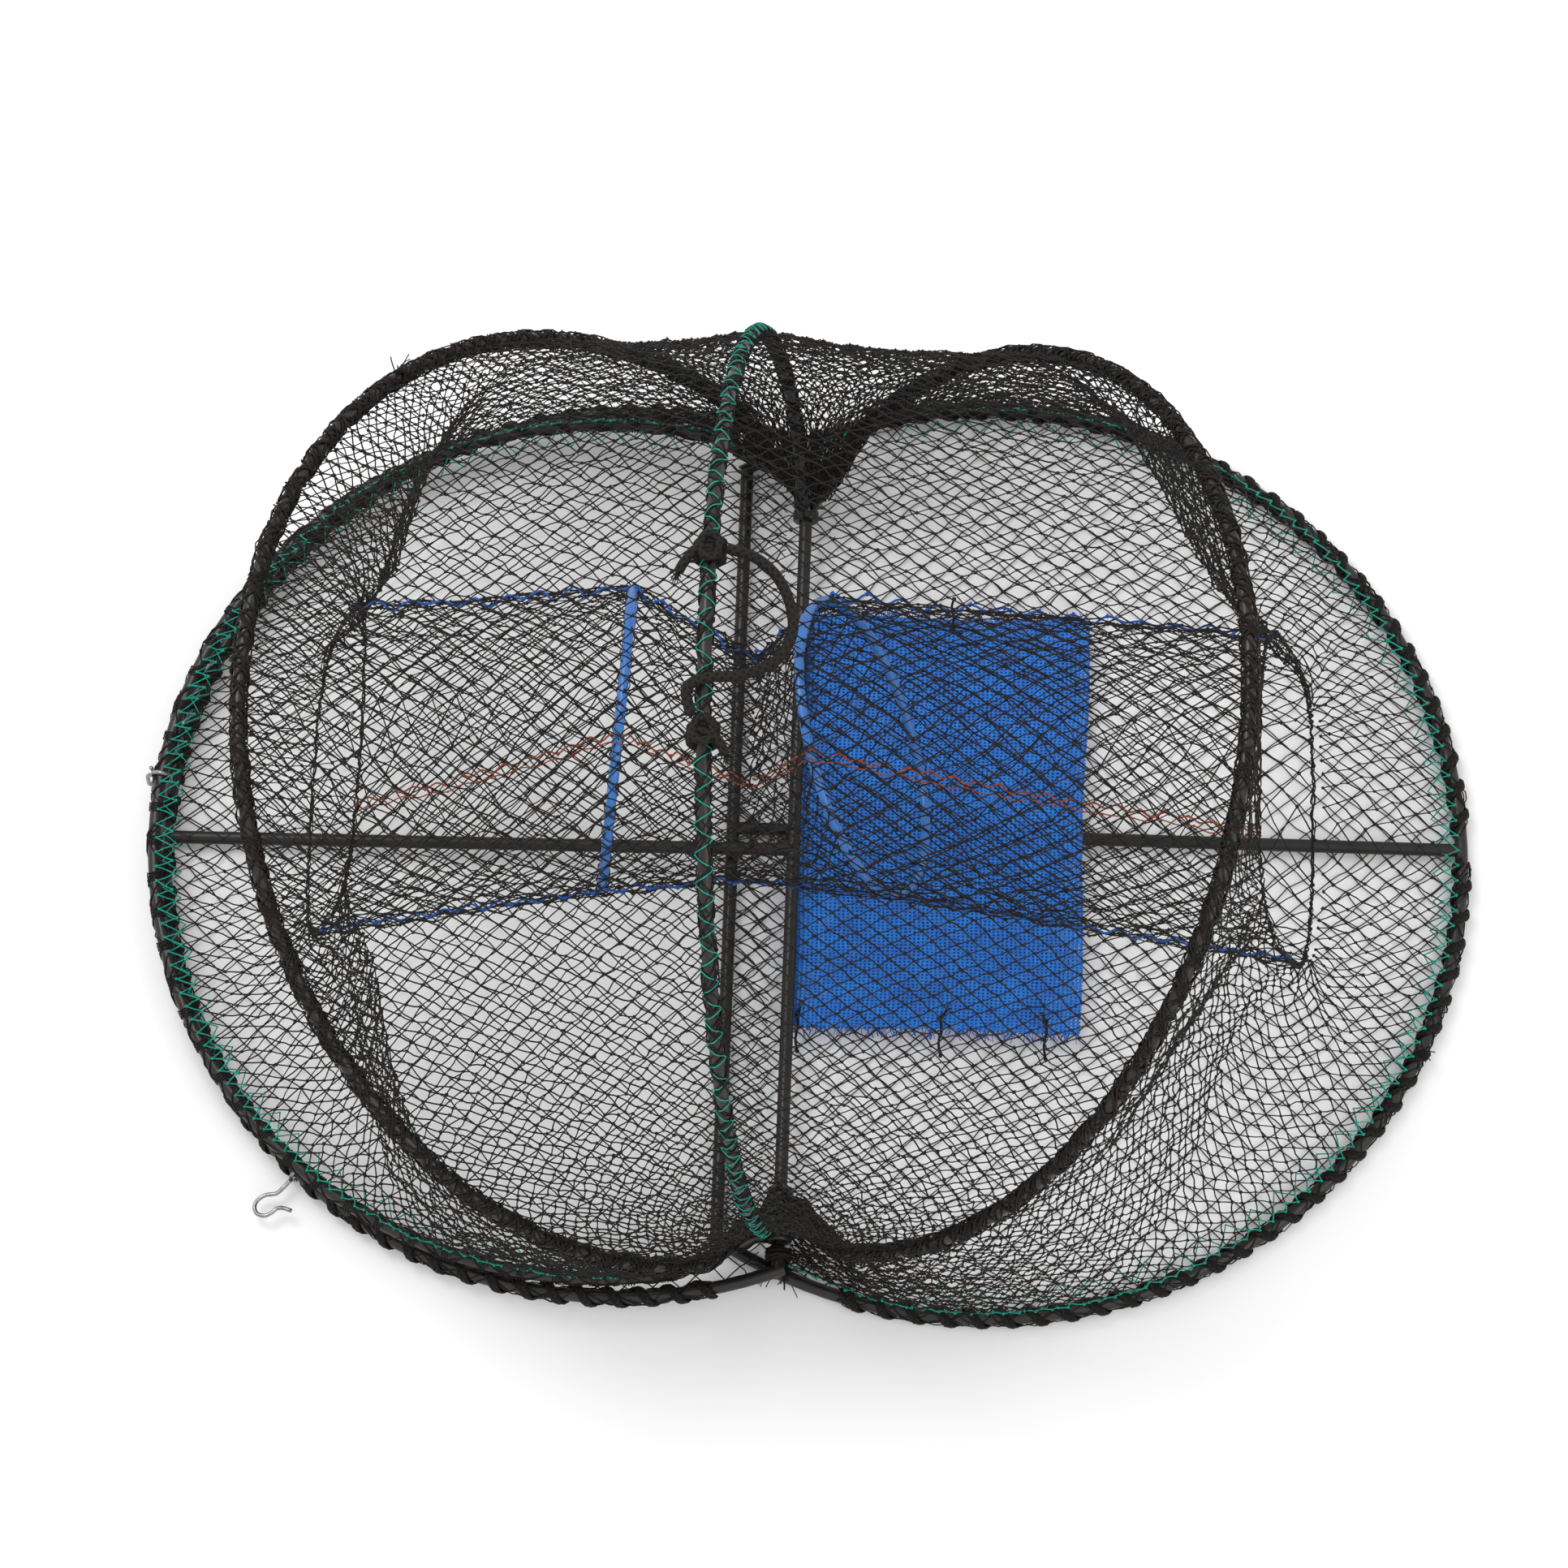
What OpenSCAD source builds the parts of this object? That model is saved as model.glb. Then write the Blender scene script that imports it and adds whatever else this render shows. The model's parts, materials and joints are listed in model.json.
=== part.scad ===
// Folding crab trap: six hoops on one hinge bar, netting panels, two funnel entrances.
// Units are millimetres. X runs right, Y runs away from the front, Z is up, the floor is Z = 0.

/* [Frame] */
// rod diameter of every hoop and bar
rod_d = 8; // [6:0.5:12]
// X of the hinge bar's axis
hinge_x = -9.4; // [-40:0.1:40]
// height of the hinge bar's axis
hinge_z = 20; // [16:1:40]
// Y of the middle of the hinge bar and its hoops
hoop_y = -5; // [-20:1:20]
// outer diameter of the cord lashing on the base hoops
lash_d = 14; // [10:1:20]

/* [Base hoops] */
// centreline radius of the right base hoop
right_r = 293; // [200:1:400]
// distance of the right base hoop's centre from the hinge bar
right_v = 116.6; // [50:1:200]
// distance from the hinge bar to the right chord bar
chord_gap = 38; // [20:1:60]
// Y of the right radial bar
radial_y = 12; // [-30:1:30]
// centreline radius of the left base hoop
left_r = 284.7; // [200:1:400]
// distance of the left base hoop's centre from the hinge bar
left_v = 101.6; // [50:1:200]

/* [Upper hoops] */
// centreline radius of the door hoop
door_r = 275; // [200:1:400]
// distance of the door hoop's centre from the hinge bar
door_v = 116; // [50:1:200]
// angle of the door hoop from the right-hand floor
door_a = 178.8; // [150:0.1:180]
// centreline radius of the left upper hoop
lup_r = 284.7; // [200:1:400]
// distance of the left upper hoop's centre from the hinge bar
lup_v = 137.3; // [50:1:200]
// angle of the left upper hoop from the right-hand floor
lup_a = 138.5; // [110:0.1:170]
// centreline radius of the middle hoop
mid_r = 266; // [200:1:400]
// distance of the middle hoop's centre from the hinge bar
mid_v = 132.7; // [50:1:200]
// angle of the middle hoop from the right-hand floor
mid_a = 96.5; // [70:0.1:120]
// centreline radius of the right upper hoop
rup_r = 275.4; // [200:1:400]
// distance of the right upper hoop's centre from the hinge bar
rup_v = 137.5; // [50:1:200]
// angle of the right upper hoop from the right-hand floor
rup_a = 50.5; // [20:0.1:80]

/* [Hinge eyes] */
// half span of the door hoop's eyes along the hinge bar
eye_door = 245; // [200:1:260]
// spacing from one hoop's eye to the next
eye_step = 9; // [8.5:0.5:20]
// outer diameter of an eye
eye_d = 16; // [12:1:24]
// width of an eye along the bar
eye_w = 7.2; // [4:0.1:12]
// radial clearance of an eye on the hinge bar
eye_gap = 0.05; // [0.01:0.01:0.1]
// distance from the hinge bar where a hoop's leg starts to flare
leg_v = 15; // [10:1:40]
// distance from the hinge bar where a hoop's round part starts
flare_v = 62; // [30:1:90]

/* [Entrances] */
// centreline radius of an entrance ring
ring_r = 88; // [60:1:120]
// tube diameter of an entrance ring
ring_d = 6; // [5:0.5:14]
// X of the left ring's centre
ring_left_x = -112; // [-200:1:0]
// X of the right ring's centre
ring_right_x = 33; // [0:1:150]
// height of the rings' centres
ring_z = 190; // [120:1:260]
// half width of each funnel mouth along Y
mouth_y = 95; // [60:1:140]
// half height of each funnel mouth
mouth_h = 72; // [40:1:110]

/* [Nets and bag] */
// thickness that stands in for the netting
net_t = 1.2; // [0.8:0.1:3]
// bait bag length along Y
bag_l = 266; // [150:1:350]
// bait bag width along X
bag_w = 178; // [100:1:250]
// bait bag thickness
bag_t = 3; // [1:0.5:20]

/* [Rope and clips] */
// diameter of the carrying rope
rope_d = 6.5; // [4:0.5:12]
// wire diameter of the clips
wire_d = 2.6; // [1.5:0.1:5]
// Y of the hooked clip
clip_y = 27; // [-100:1:100]
// angle round the left base hoop of the loose clip
clip_a = 48; // [20:1:80]

/* [Hidden] */
rr = rod_d / 2;
lr = lash_d / 2;
wr = wire_d / 2;
hx = hinge_x;
hz = hinge_z;
hy = hoop_y;
left_far = hx - left_v - left_r;
left_tilt = asin((hz - lr) / (left_v + left_r));
left_a = 180 + left_tilt;
eye_lup = eye_door - eye_step;
eye_rup = eye_lup - eye_step;
eye_mid = eye_rup - eye_step;
left_corner = sqrt(left_r * left_r - left_v * left_v);
chord_x = hx - chord_gap;
right_cx = hx + right_v;
right_corner = sqrt(right_r * right_r - (right_v + chord_gap) * (right_v + chord_gap));
chord_half = right_corner;
radial_s = asin(radial_y / right_r);
$fn = 48;

// Places a child drawn with V along X and U along Y into a plane through the hinge bar.
module in_plane(a) {
    translate([hx, hy, hz])
        rotate([0, -a, 0])
            children();
}

// A rod from point p to point q, that runs past q by x.
module rod(p, q, r, x = 0) {
    d = q - p;
    l = norm(d);
    translate(p)
        rotate([0, acos(d[2] / l), atan2(d[1], d[0])])
            cylinder(h = l + x, r = r, $fn = 32);
}

// Part of a round rod in the XY plane, centred on direction +X.
module arc_rod(rad, r, half) {
    rotate([0, 0, -half])
        rotate_extrude(angle = 2 * half, $fn = 180)
            translate([rad, 0])
                circle(r = r, $fn = 32);
}

// Part of a sleeve that lies round an arc rod, from angle a0 to a1.
module arc_sleeve(rad, ri, ro, a0, a1) {
    rotate([0, 0, a0])
        rotate_extrude(angle = a1 - a0, $fn = 180)
            translate([rad, 0])
                difference() {
                    circle(r = ro, $fn = 32);
                    circle(r = ri, $fn = 32);
                }
}

// A sleeve round a line along Y.
module sleeve_y(ri, ro, w) {
    rotate([90, 0, 0])
        difference() {
            cylinder(h = w, r = ro, center = true, $fn = 64);
            cylinder(h = w + 2, r = ri, center = true, $fn = 64);
        }
}

// A round tube along the points c.
module tube(c, r, sides) {
    n = len(c);
    tan_v = [for (i = [0 : n - 1]) unit(c[min(i + 1, n - 1)] - c[max(i - 1, 0)])];
    pts = [for (i = [0 : n - 1])
        let (w = unit(cross(tan_v[i], [0, 0, 1])), e = cross(w, tan_v[i]))
        for (j = [0 : sides - 1])
            c[i] + r * (cos(360 * j / sides) * w + sin(360 * j / sides) * e)];
    wall = [for (i = [0 : n - 2]) for (j = [0 : sides - 1])
        let (p = i * sides + j, q = i * sides + (j + 1) % sides)
        each [[p, q + sides, p + sides], [p, q, q + sides]]];
    caps = [[for (j = [sides - 1 : -1 : 0]) j],
            [for (j = [0 : sides - 1]) (n - 1) * sides + j]];
    polyhedron(points = pts, faces = concat(wall, caps), convexity = 6);
}

// Points of a hoop's leg from its eye outwards, in its own plane.
function leg_pts(fu, ue) = [
    [6.5, ue, 0],
    [11, ue, 0],
    [leg_v, ue + 0.8, 0],
    [leg_v + 5, ue + 3.6, 0],
    [flare_v - 8, fu - 3.6, 0]
];

// A hoop with two eyes: radial legs, flared legs and round part in one bent rod.
module eyed_hoop(rad, v0, ue) {
    fa = acos((flare_v - v0) / rad);
    fu = rad * sin(fa);
    leg = leg_pts(fu, ue);
    arc = [for (k = [0 : 52]) let (f = fa * (1 - k / 26)) [v0 + rad * cos(f), rad * sin(f), 0]];
    back = [for (k = [4 : -1 : 0]) [leg[k][0], -leg[k][1], 0]];
    tube(concat(leg, arc, back), rr, 12);
    for (s = [-1, 1])
        difference() {
            translate([0, s * ue, 0])
                rotate([90, 0, 0])
                    cylinder(h = eye_w, d = eye_d, center = true, $fn = 64);
            translate([0, s * ue, 0])
                rotate([90, 0, 0])
                    cylinder(h = eye_w * 3, r = rr + eye_gap, center = true, $fn = 64);
        }
}

module right_base_hoop() {
    color([0.07, 0.06, 0.06])
        translate([right_cx, 0, lr]) {
            fa = acos((-right_v - chord_gap) / right_r);
            arc_rod(right_r, rr, fa + 0.8);
        }
}

module right_chord_bar() {
    color([0.07, 0.06, 0.06])
        translate([chord_x, 0, lr])
            rotate([90, 0, 0])
                cylinder(h = 2 * chord_half, r = rr, center = true, $fn = 32);
}

module right_radial_bar() {
    color([0.07, 0.06, 0.06])
        translate([chord_x, radial_y, lr])
            rotate([0, 90, 0])
                cylinder(h = right_v + chord_gap + right_r * cos(radial_s), r = rr, $fn = 32);
}

module right_lashing() {
    color([0.08, 0.07, 0.06])
        translate([right_cx, 0, lr]) {
            arc_sleeve(right_r, rr, lr, radial_s + 1.5, 106);
            arc_sleeve(right_r, rr, lr, -106, radial_s - 1.5);
        }
}

module left_base_hoop() {
    color([0.07, 0.06, 0.06])
        in_plane(left_a)
            translate([left_v, 0, 0]) {
                fa = acos(-left_v / left_r);
                arc_rod(left_r, rr, fa + 0.8);
            }
}

module left_chord_bar() {
    color([0.07, 0.06, 0.06])
        translate([hx, hy, hz])
            rotate([90, 0, 0])
                cylinder(h = 2 * left_corner, r = rr, center = true, $fn = 64);
}

module left_radial_bar() {
    color([0.07, 0.06, 0.06])
        in_plane(left_a)
            rotate([0, 90, 0])
                cylinder(h = left_v + left_r, r = rr, $fn = 32);
}

module left_lashing() {
    clip_s = asin((clip_y - hy) / left_r);
    color([0.08, 0.07, 0.06])
        in_plane(left_a)
            translate([left_v, 0, 0]) {
                arc_sleeve(left_r, rr, lr, clip_s + 1, 103);
                arc_sleeve(left_r, rr, lr, 1.5, clip_s - 1);
                arc_sleeve(left_r, rr, lr, -clip_a + 1, -1.5);
                arc_sleeve(left_r, rr, lr, -103, -clip_a - 1);
            }
}

// A rope binding: a sleeve on the hinge bar and a lump over the right base hoop below it.
module hinge_lashings() {
    cross_u = sqrt(right_r * right_r - right_v * right_v);
    color([0.1, 0.08, 0.07])
        for (s = [-1, 1]) {
            b = hy + s * 255.5;
            e = s * (cross_u + 1);
            translate([hx, b, hz])
                sleeve_y(rr + eye_gap, 8.6, 7);
            rod([hx, b, 7.6], [hx, e, 7.6], 6.6);
            translate([hx, b, 7.6])
                sphere(r = 6.9, $fn = 32);
        }
}

module door_hoop() {
    color([0.07, 0.06, 0.06])
        in_plane(door_a)
            eyed_hoop(door_r, door_v, eye_door);
}

module left_hoop() {
    color([0.07, 0.06, 0.06])
        in_plane(lup_a)
            eyed_hoop(lup_r, lup_v, eye_lup);
}

module middle_hoop() {
    color([0.07, 0.06, 0.06])
        in_plane(mid_a)
            eyed_hoop(mid_r, mid_v, eye_mid);
}

module right_hoop() {
    color([0.07, 0.06, 0.06])
        in_plane(rup_a)
            eyed_hoop(rup_r, rup_v, eye_rup);
}

// Points along each clip's wire, from its sleeve.
clip_side_pts = [[rr + wr + 0.5, 0, 0], [rr + 3.8, 0, 1.2], [rr + 5, 0, 4], [rr + 5.4, 0, 12],
    [rr + 5.2, 0, 18], [rr + 4.2, 1, 21.5], [rr + 3.6, 3.5, 23.6], [rr + 3.6, 6.5, 23.8],
    [rr + 4.2, 8.6, 21.5], [rr + 5.4, 9, 14]];
clip_front_pts = [[rr + wr + 0.5, 0], [17, 0], [20.5, 1.6], [24, 4.4], [29, 5.6], [33.5, 4.2],
    [35.6, 0], [33.5, -4.2], [29.5, -6], [25, -6.6], [22.4, -9], [20, -14]];

// The hooked clip hangs from the door hoop, with its foot outside the left base hoop.
module clip_side() {
    u = clip_y - hy;
    v = door_v + sqrt(door_r * door_r - u * u);
    t = asin(u / door_r);
    color([0.75, 0.75, 0.77])
        in_plane(door_a)
            translate([v, u, 0])
                rotate([0, 0, t]) {
                    sleeve_y(rr + 0.35, rr + 2 * wr, wire_d + 0.8);
                    rotate([90, 0, 0])
                        tube([for (p = clip_side_pts) [p[0], p[2], -p[1]]], wr, 10);
                }
}

// The loose clip turns on the left base hoop and lies outwards.
module clip_front() {
    color([0.75, 0.75, 0.77])
        in_plane(left_a)
            translate([left_v, 0, 0])
                rotate([0, 0, -clip_a])
                    translate([left_r, 0, 0]) {
                        sleeve_y(rr + eye_gap, rr + 2 * wr, wire_d + 0.8);
                        tube([for (p = clip_front_pts) [p[0], p[1], 0]], wr, 10);
                    }
}

// Flat base nets just under the bars.
module base_net_right() {
    color([0.1, 0.08, 0.07, 0.6])
        translate([right_cx, 0, lr - rr - 0.7 - net_t])
            intersection() {
                cylinder(h = net_t, r = right_r - lr - 0.6, $fn = 180);
                translate([-right_v - chord_gap + rr + 1, -400, 0])
                    cube([800, 800, net_t]);
            }
}

module base_net_left() {
    color([0.1, 0.08, 0.07, 0.6])
        in_plane(left_a)
            translate([left_v, 0, rr + 0.7])
                intersection() {
                    cylinder(h = net_t, r = left_r - lr - 0.6, $fn = 180);
                    translate([-left_v + rr + 9, -400, 0])
                        cube([800, 800, net_t]);
                }
}

// Point on a hoop's round part, s from -1 to 1, in its plane at angle a.
net_v = flare_v + 6;
function half_a(rad, v0) = acos((net_v - v0) / rad);
function hoop_p(rad, v0, a, s) =
    let (f = s * half_a(rad, v0), v = v0 + rad * cos(f), u = rad * sin(f))
    [hx + v * cos(a), hy + u, hz + v * sin(a)];
function base_p(s) =
    let (f = s * half_a(right_r, right_v))
    [right_cx + right_r * cos(f), right_r * sin(f), lr];
function door_p(s) = hoop_p(door_r, door_v, door_a, s);
function lup_p(s) = hoop_p(lup_r, lup_v, lup_a, s);
function mid_p(s) = hoop_p(mid_r, mid_v, mid_a, s);
function rup_p(s) = hoop_p(rup_r, rup_v, rup_a, s);

// Point between two rods, t from -1 to 1, that keeps a gap g to each rod's centre.
function span_p(p, q, t, g0, g1) =
    let (d = norm(q - p), k = g0 / d, m = 1 - g1 / d)
    p + (q - p) * (k + (m - k) * (t + 1) / 2);

// Surface normals of a grid of points.
function unit(v) = v / max(norm(v), 1e-9);
function grid_n(g, n, m, j, i, wrap) =
    let (i0 = wrap ? (i + n - 1) % n : max(i - 1, 0),
         i1 = wrap ? (i + 1) % n : min(i + 1, n - 1),
         j0 = max(j - 1, 0),
         j1 = min(j + 1, m - 1))
    unit(cross(g[j][i1] - g[j][i0], g[j1][i] - g[j0][i]));

// A closed skin of even thickness over a grid of m rows and n columns.
module skin(g, wrap) {
    m = len(g);
    n = len(g[0]);
    h = net_t / 2;
    nn = [for (j = [0 : m - 1]) [for (i = [0 : n - 1]) grid_n(g, n, m, j, i, wrap)]];
    top = [for (j = [0 : m - 1]) for (i = [0 : n - 1]) g[j][i] + h * nn[j][i]];
    low = [for (j = [0 : m - 1]) for (i = [0 : n - 1]) g[j][i] - h * nn[j][i]];
    k = m * n;
    ni = wrap ? n - 1 : n - 2;
    f1 = [for (j = [0 : m - 2]) for (i = [0 : ni])
        let (a = j * n + i, b = j * n + (i + 1) % n, c = b + n, d = a + n)
        each [[a, c, b], [a, d, c]]];
    f2 = [for (j = [0 : m - 2]) for (i = [0 : ni])
        let (a = k + j * n + i, b = k + j * n + (i + 1) % n, c = b + n, d = a + n)
        each [[a, b, c], [a, c, d]]];
    f3 = [for (i = [0 : ni])
        let (a = i, b = (i + 1) % n)
        each [[a, b, b + k], [a, b + k, a + k]]];
    f4 = [for (i = [0 : ni])
        let (a = (m - 1) * n + i, b = (m - 1) * n + (i + 1) % n)
        each [[a, b + k, b], [a, a + k, b + k]]];
    f5 = wrap ? [] : [for (j = [0 : m - 2])
        let (a = j * n, d = a + n)
        each [[a, a + k, d + k], [a, d + k, d]]];
    f6 = wrap ? [] : [for (j = [0 : m - 2])
        let (a = j * n + n - 1, d = a + n)
        each [[a, d + k, a + k], [a, d, d + k]]];
    polyhedron(points = concat(top, low), faces = concat(f1, f2, f3, f4, f5, f6), convexity = 6);
}

// Outline of a panel between a lower and an upper rod, at angle a round it.
function sq(a) =
    let (c = cos(a), s = sin(a), k = max(abs(c), abs(s)))
    [c / k, s / k];
function left_edge(a) =
    let (q = sq(a))
    span_p(door_p(q[0]), lup_p(q[0]), q[1], rr + 4, rr + 1.6);
function right_edge(a) =
    let (q = sq(a))
    span_p(base_p(q[0]), rup_p(q[0]), q[1], lr + 1.6, rr + 1.6);

// Funnel mouths: rounded upright openings that lean with the side panels.
function round_sq(a) =
    let (c = cos(a), s = sin(a), p = 0.62)
    [sign(c) * pow(abs(c), p), sign(s) * pow(abs(s), p)];
function left_mouth(a, k) =
    let (q = round_sq(a))
    [-281 + 20 * q[1] * k, hy + mouth_y * q[0] * k, 145 + mouth_h * q[1] * k];
function right_mouth(a, k) =
    let (q = round_sq(a))
    [285 - 20 * q[1] * k, hy + mouth_y * q[0] * k, 145 + mouth_h * q[1] * k];

// Circle round an entrance ring, with lean b about Y and turn c about Z.
function ring_p(x, a, r, b, c) =
    let (y = r * cos(a), z = r * sin(a), u = z * sin(b))
    [x + u * cos(c) - y * sin(c), 4 + y * cos(c) + u * sin(c), ring_z + z * cos(b)];
function waist_p(x, a) = [x, -2 + 70 * cos(a), 165 + 34 * sin(a)];

na = 64;
function mix(p, q, k) = p + (q - p) * k;

module door_net() {
    color([0.1, 0.08, 0.07, 0.6])
        skin([for (j = [0 : 6]) [for (i = [0 : na - 1])
            let (a = i * 360 / na)
            mix(left_edge(a), left_mouth(a, 1.02), j / 6)]], true);
}

module right_side_net() {
    color([0.1, 0.08, 0.07, 0.6])
        skin([for (j = [0 : 6]) [for (i = [0 : na - 1])
            let (a = i * 360 / na)
            mix(right_edge(a), right_mouth(a, 1.02), j / 6)]], true);
}

module left_top_net() {
    color([0.1, 0.08, 0.07, 0.6])
        skin([for (j = [0 : 8]) [for (i = [0 : 40])
            span_p(lup_p(i / 20 - 1), mid_p(i / 20 - 1), j / 4 - 1, rr + 1.6, rr + 6.5)]], false);
}

module right_top_net() {
    color([0.1, 0.08, 0.07, 0.6])
        skin([for (j = [0 : 8]) [for (i = [0 : 40])
            span_p(mid_p(i / 20 - 1), rup_p(i / 20 - 1), j / 4 - 1, rr + 6.5, rr + 1.6)]], false);
}

wrap_r = ring_r + ring_d / 2 + 3.1;
module funnel_left() {
    color([0.1, 0.08, 0.07, 0.6])
        skin([for (j = [0 : 10]) [for (i = [0 : na - 1])
            let (a = i * 360 / na,
                 m = left_mouth(a, 0.97) + [2.5, 0, 0],
                 r = ring_p(ring_left_x, a, wrap_r, 4, -3),
                 w = waist_p(-34, a))
            j < 7 ? mix(m, r, j / 6) : mix(r, w, (j - 6) / 4)]], true);
}

module funnel_right() {
    color([0.1, 0.08, 0.07, 0.6])
        skin([for (j = [0 : 10]) [for (i = [0 : na - 1])
            let (a = -i * 360 / na,
                 m = right_mouth(a, 0.97) - [2.5, 0, 0],
                 r = ring_p(ring_right_x, a, wrap_r, -24, 9),
                 w = waist_p(-30, a))
            j < 7 ? mix(m, r, j / 6) : mix(r, w, (j - 6) / 4)]], true);
}

module entrance_ring(x, b, c) {
    translate([x, 4, ring_z])
        rotate([0, 0, c])
            rotate([0, b, 0])
                rotate([0, 90, 0])
                    rotate_extrude($fn = 96)
                        translate([ring_r, 0])
                            circle(d = ring_d, $fn = 24);
}

module ring_left() {
    color([0.1, 0.32, 0.7])
        entrance_ring(ring_left_x, 4, -3);
}

module ring_right() {
    color([0.1, 0.32, 0.7])
        entrance_ring(ring_right_x, -24, 9);
}

bag_x = hx + 1;
bag_y = 18;
bag_z = lr + rr + 0.2;
module bait_bag() {
    color([0.08, 0.36, 0.72])
        translate([bag_x, bag_y - bag_l / 2, bag_z])
            cube([bag_w, bag_l, bag_t]);
}

module bag_ties() {
    color([0.06, 0.05, 0.05])
        for (p = [[92, 1, 1], [92, -1, 1], [156, -1, 1], [5, -1, 1]])
            translate([bag_x + p[0], bag_y + p[1] * (bag_l / 2 + 0.2), bag_z + 1.5])
                rotate([-90 * p[1], 0, 0])
                    cylinder(h = 13, r = 1.1, $fn = 24);
}

// Carrying rope: ends in knots on the middle hoop and lies on the right top net.
knot_a = 42;
knot_b = -66;
function mid_at(y) =
    let (u = y - hy, v = mid_v + sqrt(mid_r * mid_r - u * u))
    [hx + v * cos(mid_a), y, hz + v * sin(mid_a)];
rope_pts = [
    [10, 41], [26, 37], [39, 26], [47, 9], [48, -8],
    [39, -24], [20, -34], [3, -37], [-9, -43], [-7, -58]
];
rope_n = len(rope_pts);
function rope_c(i) =
    let (q = rope_pts[min(max(i, 0), rope_n - 1)], m = mid_at(q[1]), x = m[0] + q[0])
    [x, q[1], m[2] + 8.6 - 0.25 * max(q[0] - 6, 0)];
function rope_s(k) =
    let (i = min(floor(k), rope_n - 2), t = k - i,
         p0 = rope_c(i - 1), p1 = rope_c(i), p2 = rope_c(i + 1), p3 = rope_c(i + 2))
    p1 + 0.5 * t * (p2 - p0 + t * (2 * p0 - 5 * p1 + 4 * p2 - p3 + t * (3 * (p1 - p2) + p3 - p0)));

// A round tube swept along a list of points, with flat ends.
module handle_rope() {
    color([0.05, 0.045, 0.04])
        tube([for (k = [0 : 0.5 : rope_n - 1]) rope_s(k)], rope_d / 2, 10);
}

module knot(y) {
    m = mid_at(y);
    difference() {
        union() {
            translate(m + [1, 0, 4])
                scale([1.25, 0.9, 0.85])
                    sphere(r = 9.5, $fn = 40);
            translate(m)
                rotate([90, 0, 0])
                    cylinder(h = 13, r = rr + 3, center = true, $fn = 40);
        }
        translate(m)
            rotate([90, 0, 0])
                cylinder(h = 40, r = rr - 0.05, center = true, $fn = 40);
    }
}

module handle_knots() {
    color([0.05, 0.045, 0.04]) {
        knot(knot_a);
        knot(knot_b);
    }
}

right_base_hoop();
right_chord_bar();
right_radial_bar();
right_lashing();
left_base_hoop();
left_chord_bar();
left_radial_bar();
left_lashing();
hinge_lashings();
door_hoop();
left_hoop();
middle_hoop();
right_hoop();
clip_side();
clip_front();
base_net_right();
base_net_left();
door_net();
left_top_net();
right_top_net();
right_side_net();
funnel_left();
funnel_right();
ring_left();
ring_right();
bait_bag();
bag_ties();
handle_rope();
handle_knots();
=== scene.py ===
import bpy
import json
import math
import numpy as np
from mathutils import Matrix, Vector

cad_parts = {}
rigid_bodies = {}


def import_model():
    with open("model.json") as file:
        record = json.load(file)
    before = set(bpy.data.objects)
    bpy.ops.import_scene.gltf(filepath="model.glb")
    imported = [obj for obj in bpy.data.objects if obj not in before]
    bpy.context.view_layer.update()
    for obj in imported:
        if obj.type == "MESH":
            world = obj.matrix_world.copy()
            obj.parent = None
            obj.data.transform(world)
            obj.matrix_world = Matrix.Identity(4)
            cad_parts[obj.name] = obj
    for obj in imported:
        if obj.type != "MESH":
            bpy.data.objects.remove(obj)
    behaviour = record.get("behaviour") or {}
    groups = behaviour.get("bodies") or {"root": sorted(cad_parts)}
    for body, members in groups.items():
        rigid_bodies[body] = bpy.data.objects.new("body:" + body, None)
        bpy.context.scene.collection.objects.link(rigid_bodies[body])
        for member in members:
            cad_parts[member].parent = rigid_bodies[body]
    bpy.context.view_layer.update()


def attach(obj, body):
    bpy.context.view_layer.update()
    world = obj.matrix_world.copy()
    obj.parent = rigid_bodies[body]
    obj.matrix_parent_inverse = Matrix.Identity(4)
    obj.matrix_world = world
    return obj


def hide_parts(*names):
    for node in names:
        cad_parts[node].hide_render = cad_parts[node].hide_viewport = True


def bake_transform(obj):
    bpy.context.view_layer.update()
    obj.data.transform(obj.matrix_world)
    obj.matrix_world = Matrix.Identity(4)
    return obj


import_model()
MM = 0.001

# ---- sizes, as in the part (mm)
ROD_R, LASH_R = 4.0, 7.0
HX, HY, HZ = -9.4, -5.0, 20.0
RIGHT_R, RIGHT_V, CHORD_GAP, RADIAL_Y = 293.0, 116.6, 38.0, 12
LEFT_R, LEFT_V = 284.7, 101.6
LEFT_A = 180 + math.degrees(math.asin((HZ - LASH_R) / (LEFT_V + LEFT_R)))
LEG_V, FLARE_V = 15.0, 62.0
HOOPS = {  # radius, centre distance, angle, half span of the eyes
    "door": (275.0, 116.0, 178.8, 245.0),
    "left": (284.7, 137.3, 138.5, 236.0),
    "right": (275.4, 137.5, 50.5, 227.0),
    "middle": (266.0, 132.7, 96.5, 218.0),
}
RING_R, RING_D, RING_Y, RING_Z = 88.0, 6.0, 4, 190.0
RINGS = {"left": (-112.0, 4, -3), "right": (33.0, -24, 9)}  # X, lean and turn in degrees
MOUTH_Y, MOUTH_H = 95.0, 72.0
CLIP_Y, CLIP_A = 27.0, 48.0
BAG_L, BAG_W, BAG_Y = 266.0, 178.0, 18

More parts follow.
